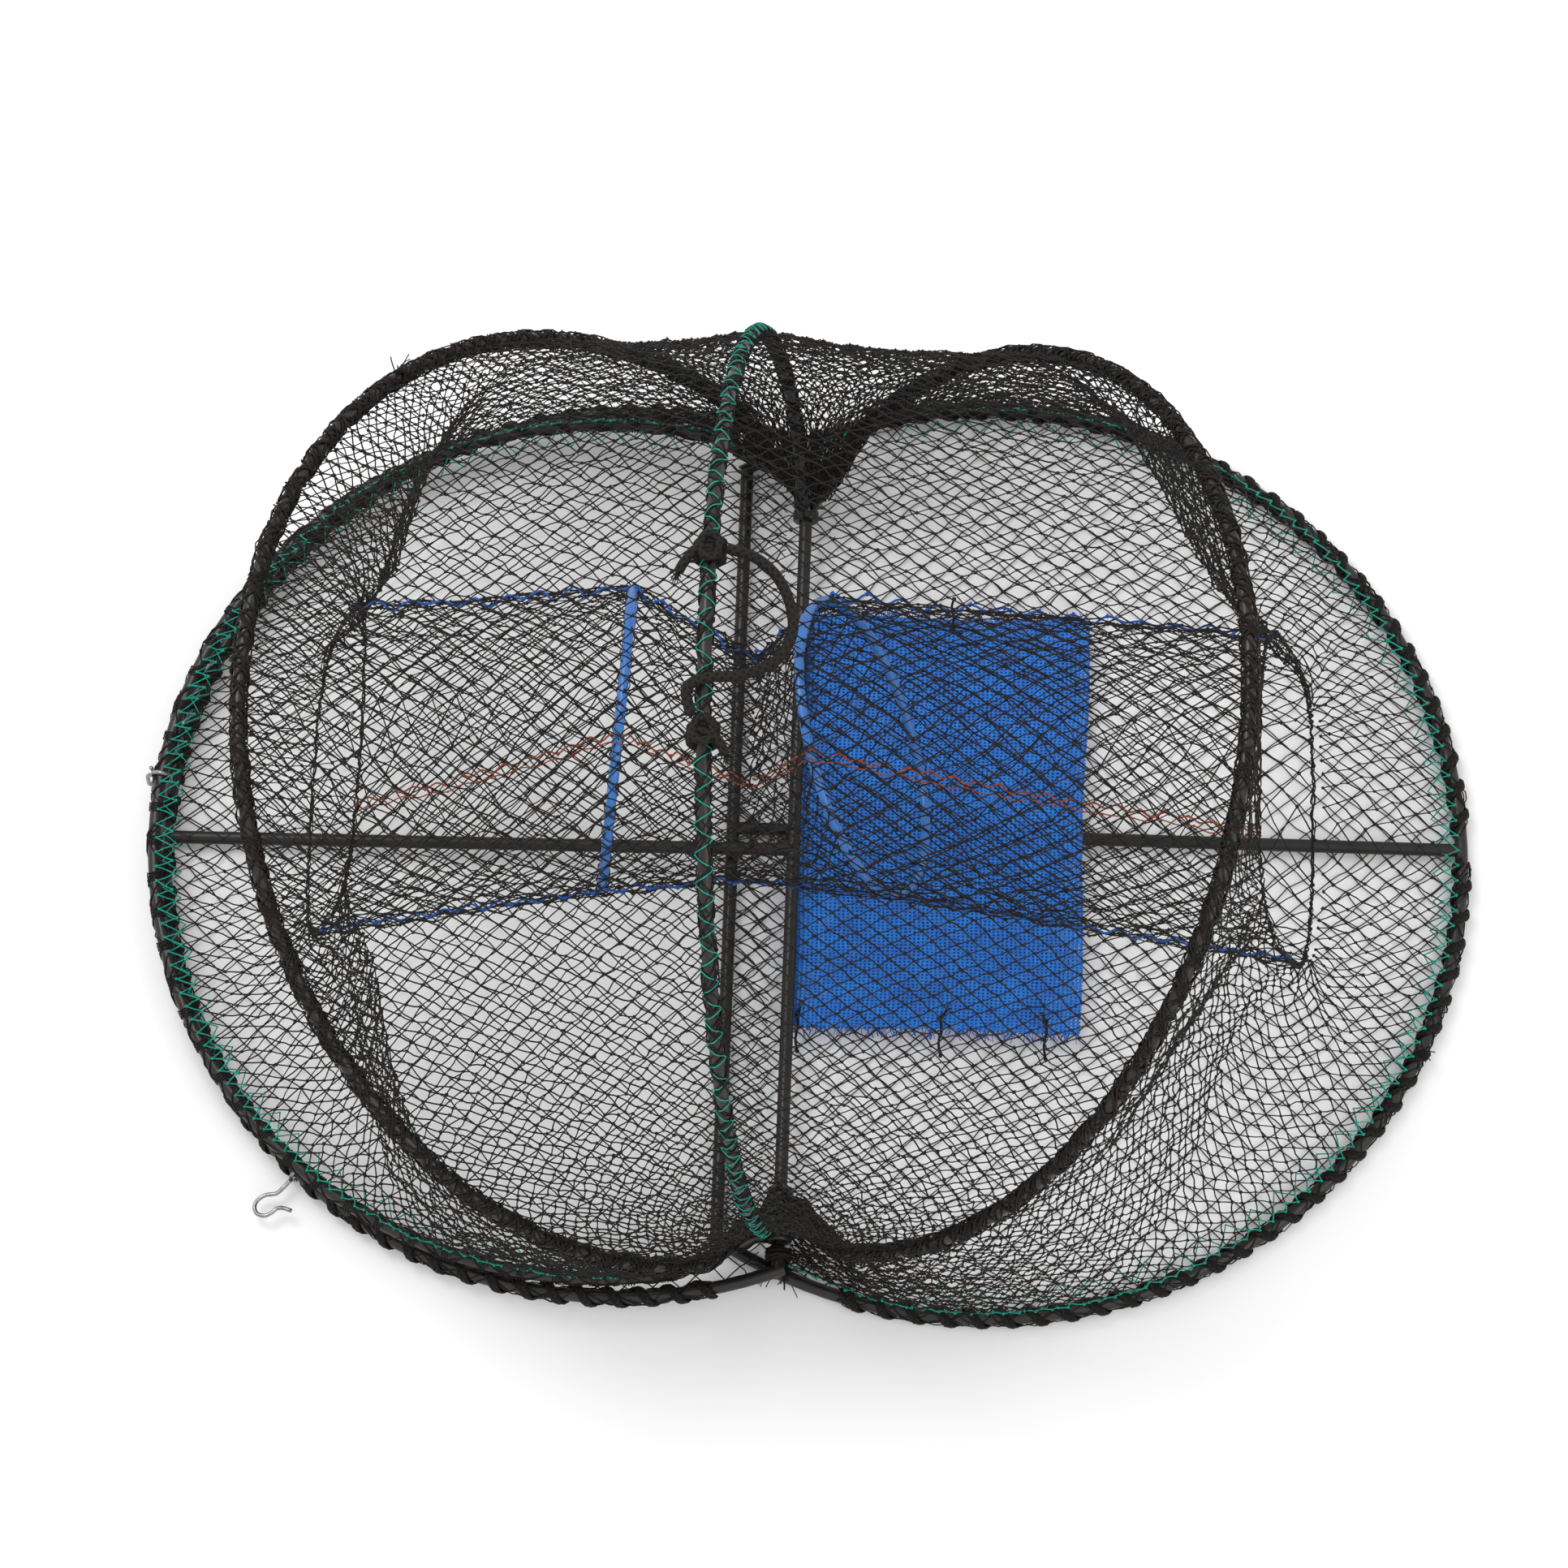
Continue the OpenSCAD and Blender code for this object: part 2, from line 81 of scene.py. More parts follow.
# ---- camera first
cam_data = bpy.data.cameras.new("camera")
cam = bpy.data.objects.new("camera", cam_data)
bpy.context.scene.collection.objects.link(cam)
CAM_EL, CAM_AZ, CAM_ROLL, CAM_LENS, CAM_DIST = 71.394, 3.945, -1.971, 158.71, 4.267
CAM_TARGET = Vector((-0.01717, 0.04392, 0.0))
a, e = math.radians(CAM_AZ), math.radians(CAM_EL)
back = Vector((math.sin(a) * math.cos(e), -math.cos(a) * math.cos(e), math.sin(e)))
cam.location = CAM_TARGET + back * CAM_DIST
z_ax = back
x_ax = Vector((0, 0, 1)).cross(z_ax).normalized()
y_ax = z_ax.cross(x_ax)
r = math.radians(CAM_ROLL)
x2, y2 = x_ax * math.cos(r) + y_ax * math.sin(r), -x_ax * math.sin(r) + y_ax * math.cos(r)
rot = Matrix((x2, y2, z_ax)).transposed()
cam.rotation_mode = "QUATERNION"
cam.rotation_quaternion = rot.to_quaternion()
cam_data.lens = CAM_LENS
cam_data.sensor_width = 36
cam_data.clip_start, cam_data.clip_end = 0.05, 60
bpy.context.scene.camera = cam


# ---- mesh tools
class Soup:
    """Collects faces of one mesh: quads and triangles with a material number and UVs."""

    def __init__(self):
        self.v, self.f, self.m, self.n, self.uv = [], [], [], 0, []

    def add(self, v, f, mat=0, uv=None):
        v = np.asarray(v, float).reshape(-1, 3)
        f = np.asarray(f, np.int64)
        if len(v) == 0 or len(f) == 0:
            return
        self.v.append(v)
        self.f.append(f + self.n)
        self.m.append(np.full(len(f), mat, np.int32) if np.isscalar(mat) else np.asarray(mat, np.int32))
        self.uv.append(np.zeros((len(v), 2)) if uv is None else np.asarray(uv, float))
        self.n += len(v)

    def build(self, name, mats, smooth=True, slot=None):
        me = bpy.data.meshes.new(name)
        v = np.concatenate(self.v) * MM
        v[:, 2] = np.maximum(v[:, 2], 0.0)
        me.vertices.add(len(v))
        me.vertices.foreach_set("co", v.astype(np.float32).ravel())
        sizes = np.concatenate([np.full(len(f), f.shape[1]) for f in self.f])
        loops = np.concatenate([f.ravel() for f in self.f])
        me.loops.add(len(loops))
        me.loops.foreach_set("vertex_index", loops.astype(np.int32))
        me.polygons.add(len(sizes))
        me.polygons.foreach_set("loop_start", np.concatenate([[0], np.cumsum(sizes)[:-1]]).astype(np.int32))
        me.polygons.foreach_set("loop_total", sizes.astype(np.int32))
        me.polygons.foreach_set("material_index", np.concatenate(self.m))
        me.polygons.foreach_set("use_smooth", np.full(len(sizes), smooth))
        uv = me.uv_layers.new(name="UVMap")
        uv.data.foreach_set("uv", np.concatenate(self.uv)[loops].astype(np.float32).ravel())
        me.update(calc_edges=True)
        me.validate()
        for m in mats:
            me.materials.append(m)
        o = bpy.data.objects.new(name, me)
        bpy.context.scene.collection.objects.link(o)
        return o


def fixed(soup, name, mats, slot, body, node=None):
    """Builds a piece that moves with one body, and that may stand for a CAD node."""
    o = soup.build(name, mats, slot=slot)
    if node:
        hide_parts(node)
    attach(o, body)
    return o


def unit(v):
    v = np.asarray(v, float)
    return v / np.maximum(np.linalg.norm(v, axis=-1, keepdims=True), 1e-9)


def bars(p, q, rad, sides=4, spin=0.3):
    """Thin open prisms from each p to each q: vertices and quads."""
    p, q = np.atleast_2d(p), np.atleast_2d(q)
    n = len(p)
    d = unit(q - p)
    ref = np.where(np.abs(d[:, 2:3]) < 0.9, [[0.0, 0.0, 1.0]], [[1.0, 0.0, 0.0]])
    w = unit(np.cross(d, ref))
    e = np.cross(w, d)
    ang = spin + 2 * np.pi * np.arange(sides) / sides
    rad = np.broadcast_to(np.asarray(rad, float).reshape(-1, 1, 1), (n, 1, 1))
    ring = rad * (np.cos(ang)[None, :, None] * w[:, None] + np.sin(ang)[None, :, None] * e[:, None])
    v = np.concatenate([p[:, None] + ring, q[:, None] + ring], 1).reshape(-1, 3)
    b = (np.arange(n) * 2 * sides)[:, None]
    i = np.arange(sides)[None]
    j = (np.arange(sides)[None] + 1) % sides
    f = np.stack([b + i, b + j, b + sides + j, b + sides + i], -1).reshape(-1, 4)
    return v, f[:, ::-1]


OCT_V = np.array([[1, 0, 0], [-1, 0, 0], [0, 1, 0], [0, -1, 0], [0, 0, 1], [0, 0, -1]], float)
OCT_F = np.array([[0, 2, 4], [2, 1, 4], [1, 3, 4], [3, 0, 4], [2, 0, 5], [1, 2, 5], [3, 1, 5], [0, 3, 5]])


def blobs(p, rad, seed=0):
    """Small knots: one stretched octahedron at each point, each turned differently."""
    p = np.atleast_2d(p)
    n = len(p)
    g = np.random.default_rng(seed + n)
    a1 = unit(g.normal(size=(n, 3)))
    a2 = unit(np.cross(a1, unit(g.normal(size=(n, 3)))))
    a3 = np.cross(a1, a2)
    s = rad * (0.85 + 0.35 * g.random((n, 3, 1)))
    basis = np.stack([a1, a2, a3], 1) * s
    v = p[:, None] + np.einsum("kc,ncd->nkd", OCT_V, basis)
    f = OCT_F[None] + (np.arange(n) * 6)[:, None, None]
    return v.reshape(-1, 3), f.reshape(-1, 3)


def frames(c):
    """Tangent and two turning-free side vectors along a path."""
    c = np.asarray(c, float)
    t = unit(np.gradient(c, axis=0))
    w = np.zeros_like(t)
    ref = np.array([0, 0, 1.0]) if abs(t[0][2]) < 0.9 else np.array([1.0, 0, 0])
    w[0] = unit(np.cross(t[0], ref))
    for i in range(1, len(c)):
        w[i] = unit(w[i - 1] - t[i] * np.dot(w[i - 1], t[i]))
    return t, w, np.cross(t, w)


def sweep(c, ra, rb=None, sides=10, cap=True, side_vec=None, twist=None):
    """A tube along a path, elliptical with half sizes ra (along w) and rb (along e)."""
    c = np.asarray(c, float)
    rb = ra if rb is None else rb
    t, w, e = frames(c)
    if side_vec is not None:
        w = unit(side_vec - t * np.sum(side_vec * t, 1, keepdims=True))
        e = np.cross(t, w)
    n = len(c)
    ang = 2 * np.pi * np.arange(sides) / sides
    ang = np.broadcast_to(ang, (n, sides)) + (0 if twist is None else np.asarray(twist)[:, None])
    ra = np.broadcast_to(np.asarray(ra, float), (n,))[:, None, None]
    rb = np.broadcast_to(np.asarray(rb, float), (n,))[:, None, None]
    v = c[:, None] + ra * np.cos(ang)[..., None] * w[:, None] + rb * np.sin(ang)[..., None] * e[:, None]
    f = tube_quads(n, sides)
    s = lengths(c)
    around = np.arange(sides)[None] / sides
    uv = np.stack([np.broadcast_to(s[:, None], (n, sides)), np.broadcast_to(around, (n, sides))], -1)
    v = v.reshape(-1, 3)
    uv = uv.reshape(-1, 2)
    tris = []
    if cap:
        v = np.concatenate([v, c[:1] - t[:1] * 0.3 * ra[0, 0], c[-1:] + t[-1:] * 0.3 * ra[-1, 0]])
        uv = np.concatenate([uv, [[s[0], 0.5]], [[s[-1], 0.5]]])
        m = n * sides
        jj = np.arange(sides)
        kk = (jj + 1) % sides
        tris = np.concatenate([
            np.stack([kk, jj, np.full(sides, m)], 1),
            np.stack([(n - 1) * sides + jj, (n - 1) * sides + kk, np.full(sides, m + 1)], 1)])
    return v, f, tris, uv


def add_sweep(soup, c, ra, rb=None, sides=10, mat=0, **kw):
    v, f, tr, uv = sweep(c, ra, rb, sides, **kw)
    base = soup.n
    soup.add(v, f, mat, uv)
    if len(tr):
        soup.f.append(np.asarray(tr, np.int64) + base)
        soup.m.append(np.full(len(tr), mat, np.int32))


def lengths(p):
    """Distance along a path at each of its points."""
    return np.concatenate([[0], np.cumsum(np.linalg.norm(np.diff(p, axis=0), axis=1))])


def points_at(path, d, at):
    """Points of a path, whose lengths are d, at the lengths given."""
    return np.stack([np.interp(at, d, path[:, k]) for k in range(path.shape[1])], -1)


def tube_quads(rows, sides):
    """Quads between neighbouring rings of a tube."""
    i, j = np.arange(rows - 1)[:, None], np.arange(sides)[None]
    k = (j + 1) % sides
    f = [i * sides + j, i * sides + k, (i + 1) * sides + k, (i + 1) * sides + j]
    return np.stack(f, -1).reshape(-1, 4)


def catmull(p, k=6):
    p = np.asarray(p, float)
    q = np.concatenate([[2 * p[0] - p[1]], p, [2 * p[-1] - p[-2]]])
    out = []
    for i in range(1, len(q) - 2):
        t = np.linspace(0, 1, k, endpoint=False)[:, None]
        a, b, c, d = q[i - 1], q[i], q[i + 1], q[i + 2]
        out.append(0.5 * (2 * b + (c - a) * t + (2 * a - 5 * b + 4 * c - d) * t ** 2
                          + (3 * b - a - 3 * c + d) * t ** 3))
    return np.concatenate(out + [p[-1:]])


def in_plane(vu, ang, off=0.0):
    """Row-frame points for (v, u) in a plane through the hinge bar at an angle; off is along its normal."""
    vu = np.asarray(vu, float)
    a = math.radians(ang)
    return np.stack([HX + vu[..., 0] * math.cos(a) - off * math.sin(a), HY + vu[..., 1],
                     HZ + vu[..., 0] * math.sin(a) + off * math.cos(a)], -1)


def resample(p, s):
    d = lengths(p)
    d /= d[-1]
    return points_at(p, d, s)


def hoop_plane(name, v_in=9.0):
    rad, v0, ang, ue = HOOPS[name]
    fa = math.acos((FLARE_V - v0) / rad)
    f = np.linspace(-fa, fa, 721)
    arc = np.stack([v0 + rad * np.cos(f), rad * np.sin(f)], 1)
    return np.concatenate([[[v_in, -ue], [LEG_V, -ue]], arc, [[LEG_V, ue], [v_in, ue]]])


def hoop3(name, v_in=9.0):
    return in_plane(hoop_plane(name, v_in), HOOPS[name][2])


def right_arc(f, z):
    """Points of the right base hoop's circle at angles f and height z."""
    return np.stack([HX + RIGHT_V + RIGHT_R * np.cos(f), RIGHT_R * np.sin(f), np.full_like(f, z)], 1)


def base3(right=True, z_off=0.0):
    """Centreline of a base hoop's round part from the hinge outwards, near end first."""
    if right:
        f0 = math.acos((6 - RIGHT_V) / RIGHT_R)
        f = np.linspace(-f0, f0, 801)
        return right_arc(f, LASH_R + z_off)
    f0 = math.acos((6 - LEFT_V) / LEFT_R)
    f = np.linspace(-f0, f0, 801)
    return in_plane(np.stack([LEFT_V + LEFT_R * np.cos(f), LEFT_R * np.sin(f)], 1), LEFT_A)


# ---- materials
def material(name, base, rough=0.6, metallic=0.0, spec=0.4, sheen=0.0, coat=0.0):
    m = bpy.data.materials.new(name)
    m.use_nodes = True
    nt = m.node_tree
    b = nt.nodes["Principled BSDF"]
    b.inputs["Base Color"].default_value = (*base, 1)
    b.inputs["Roughness"].default_value = rough
    b.inputs["Metallic"].default_value = metallic
    b.inputs["Specular IOR Level"].default_value = spec
    b.inputs["Sheen Weight"].default_value = sheen
    b.inputs["Coat Weight"].default_value = coat
    return m, nt, b


def coords(nt, kind="Object"):
    t = nt.nodes.new("ShaderNodeTexCoord")
    return t.outputs[kind]


def noise(nt, vec, scale, detail=3.0, rough=0.6):
    n = nt.nodes.new("ShaderNodeTexNoise")
    n.inputs["Scale"].default_value = scale
    n.inputs["Detail"].default_value = detail
    n.inputs["Roughness"].default_value = rough
    nt.links.new(vec, n.inputs["Vector"])
    return n.outputs["Fac"]


def ramp(nt, fac, stops):
    n = nt.nodes.new("ShaderNodeValToRGB")
    el = n.color_ramp.elements
    while len(el) < len(stops):
        el.new(0.5)
    for k, (p, c) in enumerate(stops):
        el[k].position = p
        el[k].color = (*c, 1) if len(c) == 3 else c
    nt.links.new(fac, n.inputs["Fac"])
    return n.outputs["Color"]


def tint(nt, b, socket, fac, stops):
    nt.links.new(ramp(nt, fac, stops), b.inputs[socket])


def math_node(nt, op, a, b=None, clamp=False):
    n = nt.nodes.new("ShaderNodeMath")
    n.operation = op
    n.use_clamp = clamp
    for k, x in enumerate((a, b)):
        if x is None:
            continue
        if isinstance(x, (int, float)):
            n.inputs[k].default_value = x
        else:
            nt.links.new(x, n.inputs[k])
    return n.outputs[0]


def bump(nt, b, height, strength=0.4, dist=0.0005):
    n = nt.nodes.new("ShaderNodeBump")
    n.inputs["Strength"].default_value = strength
    n.inputs["Distance"].default_value = dist
    nt.links.new(height, n.inputs["Height"])
    nt.links.new(n.outputs["Normal"], b.inputs["Normal"])


def grey(v):
    return (v, v, v)


def rod_material():
    m, nt, b = material("coated_rod", (0.02, 0.017, 0.016), 0.35, spec=0.36, coat=0.1)
    c = coords(nt)
    f = noise(nt, c, 60, 4)
    tint(nt, b, "Base Color", f, [(0.3, (0.007, 0.006, 0.0055)), (0.7, (0.017, 0.014, 0.012))])
    tint(nt, b, "Roughness", noise(nt, c, 240, 3), [(0.3, grey(0.26)), (0.75, grey(0.5))])
    bump(nt, b, noise(nt, c, 900, 2), 0.25, 0.0002)
    return m


def twine_material(name, lo, hi, rough=0.75):
    m, nt, b = material(name, hi, rough, spec=0.25)
    c = coords(nt)
    tint(nt, b, "Base Color", noise(nt, c, 420, 3), [(0.3, lo), (0.72, hi)])
    tint(nt, b, "Roughness", noise(nt, c, 150, 2), [(0.3, grey(rough - 0.15)), (0.7, grey(rough + 0.15))])
    bump(nt, b, noise(nt, c, 2600, 2), 0.5, 0.0002)
    return m


def braid_material(name, lo, hi, pitch, around, rough=0.7, depth=0.0006):
    """Braided cord from its own UVs: U is the length in millimetres, V goes round."""
    m, nt, b = material(name, hi, rough, spec=0.16)
    uv = coords(nt, "UV")
    sep = nt.nodes.new("ShaderNodeSeparateXYZ")
    nt.links.new(uv, sep.inputs[0])
    u = math_node(nt, "MULTIPLY", sep.outputs[0], 2 * math.pi / pitch)
    v = math_node(nt, "MULTIPLY", sep.outputs[1], 2 * math.pi * around)
    s1 = math_node(nt, "SINE", math_node(nt, "ADD", u, v))
    s2 = math_node(nt, "SINE", math_node(nt, "SUBTRACT", u, v))
    h = math_node(nt, "MAXIMUM", s1, s2)
    h = math_node(nt, "MULTIPLY", math_node(nt, "ADD", h, 1.0), 0.5)
    fine = noise(nt, coords(nt), 1500, 2)
    hh = math_node(nt, "ADD", h, math_node(nt, "MULTIPLY", fine, 0.35))
    # the colour follows the braid height: the grooves are painted darker as painted shade and the crests
    # lighter, with a little random fibre tone from the fine noise
    tint(nt, b, "Base Color", math_node(nt, "MULTIPLY", hh, 0.75), [(0.2, lo), (0.85, hi)])
    tint(nt, b, "Roughness", fine, [(0.3, grey(rough - 0.15)), (0.7, grey(rough + 0.12))])
    bump(nt, b, hh, 0.8, depth)
    return m


def hose_material():
    m, nt, b = material("blue_hose", (0.02, 0.16, 0.5), 0.3, spec=0.5, coat=0.3)
    c = coords(nt)
    tint(nt, b, "Base Color", noise(nt, c, 25, 3), [(0.3, (0.012, 0.11, 0.40)), (0.7, (0.028, 0.19, 0.56))])
    tint(nt, b, "Roughness", noise(nt, c, 200, 2), [(0.3, grey(0.24)), (0.7, grey(0.42))])
    bump(nt, b, noise(nt, c, 700, 2), 0.15, 0.0002)
    return m


def steel_material():
    m, nt, b = material("clip_wire", (0.3, 0.3, 0.31), 0.3, metallic=1.0)
    c = coords(nt)
    tint(nt, b, "Base Color", noise(nt, c, 300, 4), [(0.3, (0.16, 0.16, 0.165)), (0.7, (0.36, 0.36, 0.37))])
    tint(nt, b, "Roughness", noise(nt, c, 500, 2), [(0.3, grey(0.2)), (0.7, grey(0.42))])
    bump(nt, b, noise(nt, c, 2000, 2), 0.2, 0.0001)
    return m


def bag_material():
    """Blue knitted mesh: rows of small holes with ribs, cut by alpha from the sheet's UVs in millimetres."""
    m, nt, b = material("bag_mesh", (0.012, 0.16, 0.50), 0.55, spec=0.35, sheen=0.2)
    uv = coords(nt, "UV")
    sep = nt.nodes.new("ShaderNodeSeparateXYZ")
    nt.links.new(uv, sep.inputs[0])
    warp = noise(nt, coords(nt), 90, 2)
    off = math_node(nt, "MULTIPLY", math_node(nt, "SUBTRACT", warp, 0.5), 1.6)
    uu = math_node(nt, "ADD", sep.outputs[0], off)
    vv = math_node(nt, "ADD", sep.outputs[1], off)
    rib = math_node(nt, "SINE", math_node(nt, "MULTIPLY", uu, 2 * math.pi / 2.7))
    row = math_node(nt, "SINE", math_node(nt, "MULTIPLY", vv, 2 * math.pi / 2.1))
    hole = math_node(nt, "MULTIPLY", math_node(nt, "ADD", rib, 1.0), math_node(nt, "ADD", row, 1.0))
    dens = math_node(nt, "MULTIPLY", noise(nt, coords(nt), 38, 3), 1.9)
    hole = math_node(nt, "MULTIPLY", hole, dens)
    alpha = ramp(nt, math_node(nt, "MULTIPLY", hole, 0.25), [(0.30, grey(1.0)), (0.46, grey(0.0))])
    nt.links.new(alpha, b.inputs["Alpha"])
    streak = math_node(nt, "MULTIPLY", math_node(nt, "SUBTRACT", noise(nt, coords(nt), 60, 4), 0.5), 0.9)
    shade = math_node(nt, "ADD", noise(nt, coords(nt), 700, 2), streak)
    tint(nt, b, "Base Color", shade, [(0.25, (0.003, 0.09, 0.42)), (0.75, (0.014, 0.23, 0.80))])
    tint(nt, b, "Roughness", shade, [(0.3, grey(0.45)), (0.7, grey(0.7))])
    bump(nt, b, rib, 0.5, 0.0004)
    return m


ROD = rod_material()
NET = twine_material("net_twine", (0.0075, 0.0055, 0.0045), (0.02, 0.014, 0.0105))
NET2 = twine_material("net_twine_black", (0.005, 0.005, 0.0048), (0.013, 0.012, 0.011))
GREEN = twine_material("green_twine", (0.002, 0.17, 0.12), (0.006, 0.38, 0.27), 0.55)
BLUE = twine_material("blue_twine", (0.008, 0.06, 0.30), (0.02, 0.13, 0.52), 0.55)
ORANGE = twine_material("orange_twine", (0.16, 0.03, 0.012), (0.34, 0.07, 0.025), 0.6)
LASH = braid_material("lashing_cord", (0.003, 0.0028, 0.0026), (0.013, 0.011, 0.0095), 4.6, 3)
ROPE = braid_material("carrying_rope", (0.003, 0.0026, 0.0023), (0.016, 0.0135, 0.0115), 5.0, 4)
HOSE = hose_material()
STEEL = steel_material()
BAG = bag_material()
HEM = braid_material("bag_hem", (0.004, 0.06, 0.27), (0.012, 0.13, 0.46), 2.2, 2, 0.6, 0.0004)
NETS = [NET, NET2, GREEN, BLUE, ORANGE]

# ---- the carrying rope, which moves with the middle hoop
ROPE_PTS = [(10, 41), (26, 37), (39, 26), (47, 9), (48, -8), (39, -24), (20, -34), (3, -37), (-9, -43),
            (-7, -58)]  # offset from the middle hoop along X, and Y


def mid_at(y):
    rad, v0, ang, _ = HOOPS["middle"]
    u = y - HY
    v = v0 + math.sqrt(rad * rad - u * u)
    return in_plane([v, u], ang)


rope_ctrl = []
for dx, y in ROPE_PTS:
    p = mid_at(y)
    rope_ctrl.append([p[0] + dx, y, p[2] + 8.6 - 0.25 * max(dx - 6, 0)])
rope_path = catmull(rope_ctrl, 12)
s = Soup()
add_sweep(s, rope_path, 3.15, sides=16)
rope = s.build("carrying_rope", [ROPE], slot="rope")
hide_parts("handle_rope")
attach(rope, "middle")

# ---- how the soft pieces are cut up
# Each piece of net lies in one sector of angle about the hinge bar and one band of distance from it.
RIGHT_A, MID_A, LUP_A, DOOR_A = (HOOPS[k][2] for k in ("right", "middle", "left", "door"))
RIGHT_SHARE, MID_SHARE, LUP_SHARE = 0.413043, 0.691304, 0.969565  # of the base fold, as the couplings say
DOOR_SPLIT_A = 160.0  # the last sector, between the left base and the door, starts at this angle
SECTORS = [  # from, to, bodies, and their shares at each end
    (0.0, RIGHT_A, "right_base", "right_upper", 0.0, 1.0),
    (RIGHT_A, MID_A, "right_base", "left_base", RIGHT_SHARE, MID_SHARE),
    (MID_A, LUP_A, "right_base", "left_base", MID_SHARE, LUP_SHARE),
    (LUP_A, DOOR_SPLIT_A, "right_base", "left_base", LUP_SHARE, 1.0),
    (DOOR_SPLIT_A, DOOR_A, "left_base", "door", 0.0, 1.0),
]
BANDS = [0, 46, 55, 66, 79, 95, 114, 137, 164, 197, 236, 283, 340, 460]


def fold_blend(obj):
    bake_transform(obj)


def place(p):
    """Sector and band of points."""
    x, z = p[:, 0] - HX, p[:, 2] - HZ
    ang = np.degrees(np.arctan2(z, x))
    ang = np.where(ang < -90, ang + 360, ang)
    sec = np.searchsorted([q[1] for q in SECTORS[:-1]], ang, side="right")
    band = np.clip(np.searchsorted(BANDS, np.hypot(x, z), side="right") - 1, 0, len(BANDS) - 2)
    return sec, band


CELLS = {}


def cell(node, sec, band):
    k = (node, int(sec), int(band))
    if k not in CELLS:
        CELLS[k] = Soup()
    return CELLS[k]


def spread(node, p, q, rad, mat, sides=4):
    """Bars sorted into their cells by their middle."""
    sec, band = place((p + q) / 2)
    rad = np.broadcast_to(np.asarray(rad, float), (len(p),))
    mat = np.broadcast_to(np.asarray(mat), (len(p),))
    for key in np.unique(sec * 100 + band):
        i = (sec * 100 + band) == key
        v, f = bars(p[i], q[i], rad[i], sides)
        cell(node, key // 100, key % 100).add(v, f, np.repeat(mat[i], sides))


def spread_knots(node, p, rad, mat):
    sec, band = place(p)
    mat = np.broadcast_to(np.asarray(mat), (len(p),))
    for key in np.unique(sec * 100 + band):
        i = (sec * 100 + band) == key
        v, f = blobs(p[i], rad, seed=int(key))
        cell(node, key // 100, key % 100).add(v, f, np.repeat(mat[i], 8))


def spread_path(node, path, rad, mat, sides=5):
    path = np.asarray(path, float)
    spread(node, path[:-1], path[1:], rad, mat, sides)


TWINE_R, KNOT_R = 0.42, 1.3


def lattice(ni, nj, wrap=False):
    """Knot numbers (i, j) with i + j even, and the bars between them."""
    ii, jj = np.meshgrid(np.arange(0, 2 * ni + (0 if wrap else 1)), np.arange(0, 2 * nj + 1), indexing="ij")
    ok = (ii + jj) % 2 == 0
    i, j = ii[ok], jj[ok]
    index = {}
    for k, (x, y) in enumerate(zip(i.tolist(), j.tolist())):
        index[(x, y)] = k
    links = []
    for (x, y), k in index.items():
        for dy in (-1, 1):
            x2_ = (x + 1) % (2 * ni) if wrap else x + 1
            m_ = index.get((x2_, y + dy))
            if m_ is not None:
                links.append((k, m_))
    return i, j, np.array(links)


def normals(fn, s_, t_):
    h = 0.004
    a_ = fn(s_ + h, t_) - fn(s_ - h, t_)
    b_ = fn(s_, t_ + h) - fn(s_, t_ - h)
    return unit(np.cross(a_, b_))


def knit(node, fn, ni, nj, seed, keep=None, wrap=False, jit=(1.3, 1.3, 1.6), mat_of=None, sag=0.7,
         edge_fix=True):
    """Knotted diamond netting on fn(s, t), s and t from -1 to 1 (s from 0 to 1 round when wrapped)."""
    g = np.random.default_rng(seed)
    i, j, links = lattice(ni, nj, wrap)
    s_ = i / (2 * ni) if wrap else i / ni - 1.0
    t_ = j / nj - 1.0
    p = fn(s_, t_)
    n_ = normals(fn, s_, t_)
    du = unit(fn(s_ + 0.003, t_) - fn(s_ - 0.003, t_))
    dv = np.cross(n_, du)
    soft = np.ones(len(p))
    if edge_fix:
        soft = np.where((j == 0) | (j == 2 * nj), 0.15, 1.0)
    w = g.normal(size=(len(p), 3)) * 0.5
    p = p + soft[:, None] * (jit[0] * w[:, :1] * du + jit[1] * w[:, 1:2] * dv + jit[2] * w[:, 2:] * n_)
    ok = np.ones(len(p), bool) if keep is None else keep(s_, t_, p)
    mat = np.zeros(len(p), int) if mat_of is None else mat_of(i, j, s_, t_)
    lk = links[ok[links[:, 0]] & ok[links[:, 1]]]
    a_, b_ = p[lk[:, 0]], p[lk[:, 1]]
    m_ = np.maximum(mat[lk[:, 0]], mat[lk[:, 1]]) if mat_of is not None else np.zeros(len(lk), int)
    if mat_of is not None:
        m_ = np.where((mat[lk[:, 0]] >= 2) & (mat[lk[:, 1]] >= 2), m_, np.where(m_ >= 2, 0, m_))
    lift = n_[lk[:, 0]] * (g.normal(size=(len(lk), 1)) * sag * 0.6)
    shift = du[lk[:, 0]] * (g.normal(size=(len(lk), 1)) * sag * 0.5)
    c_ = (a_ + b_) / 2 + lift + shift
    rad = TWINE_R * (0.9 + 0.25 * g.random(len(lk)))
    spread(node, a_, c_, rad, m_)
    spread(node, c_, b_, rad, m_)
    spread_knots(node, p[ok], KNOT_R, mat[ok] if mat_of is not None else 0)
    return p, ok


# ---- netting panels between the hoops
HOOP_CURVE = {k: resample(hoop3(k, 17.0), np.linspace(0, 1, 1201)) for k in HOOPS}
A_CURVE = resample(base3(True, 1.0), np.linspace(0, 1, 1201))
GRID = np.linspace(-1, 1, 1201)


def on(curve, s_):
    s_ = np.clip(s_, -1, 1)
    return np.stack([np.interp(s_, GRID, curve[:, k]) for k in range(3)], -1)


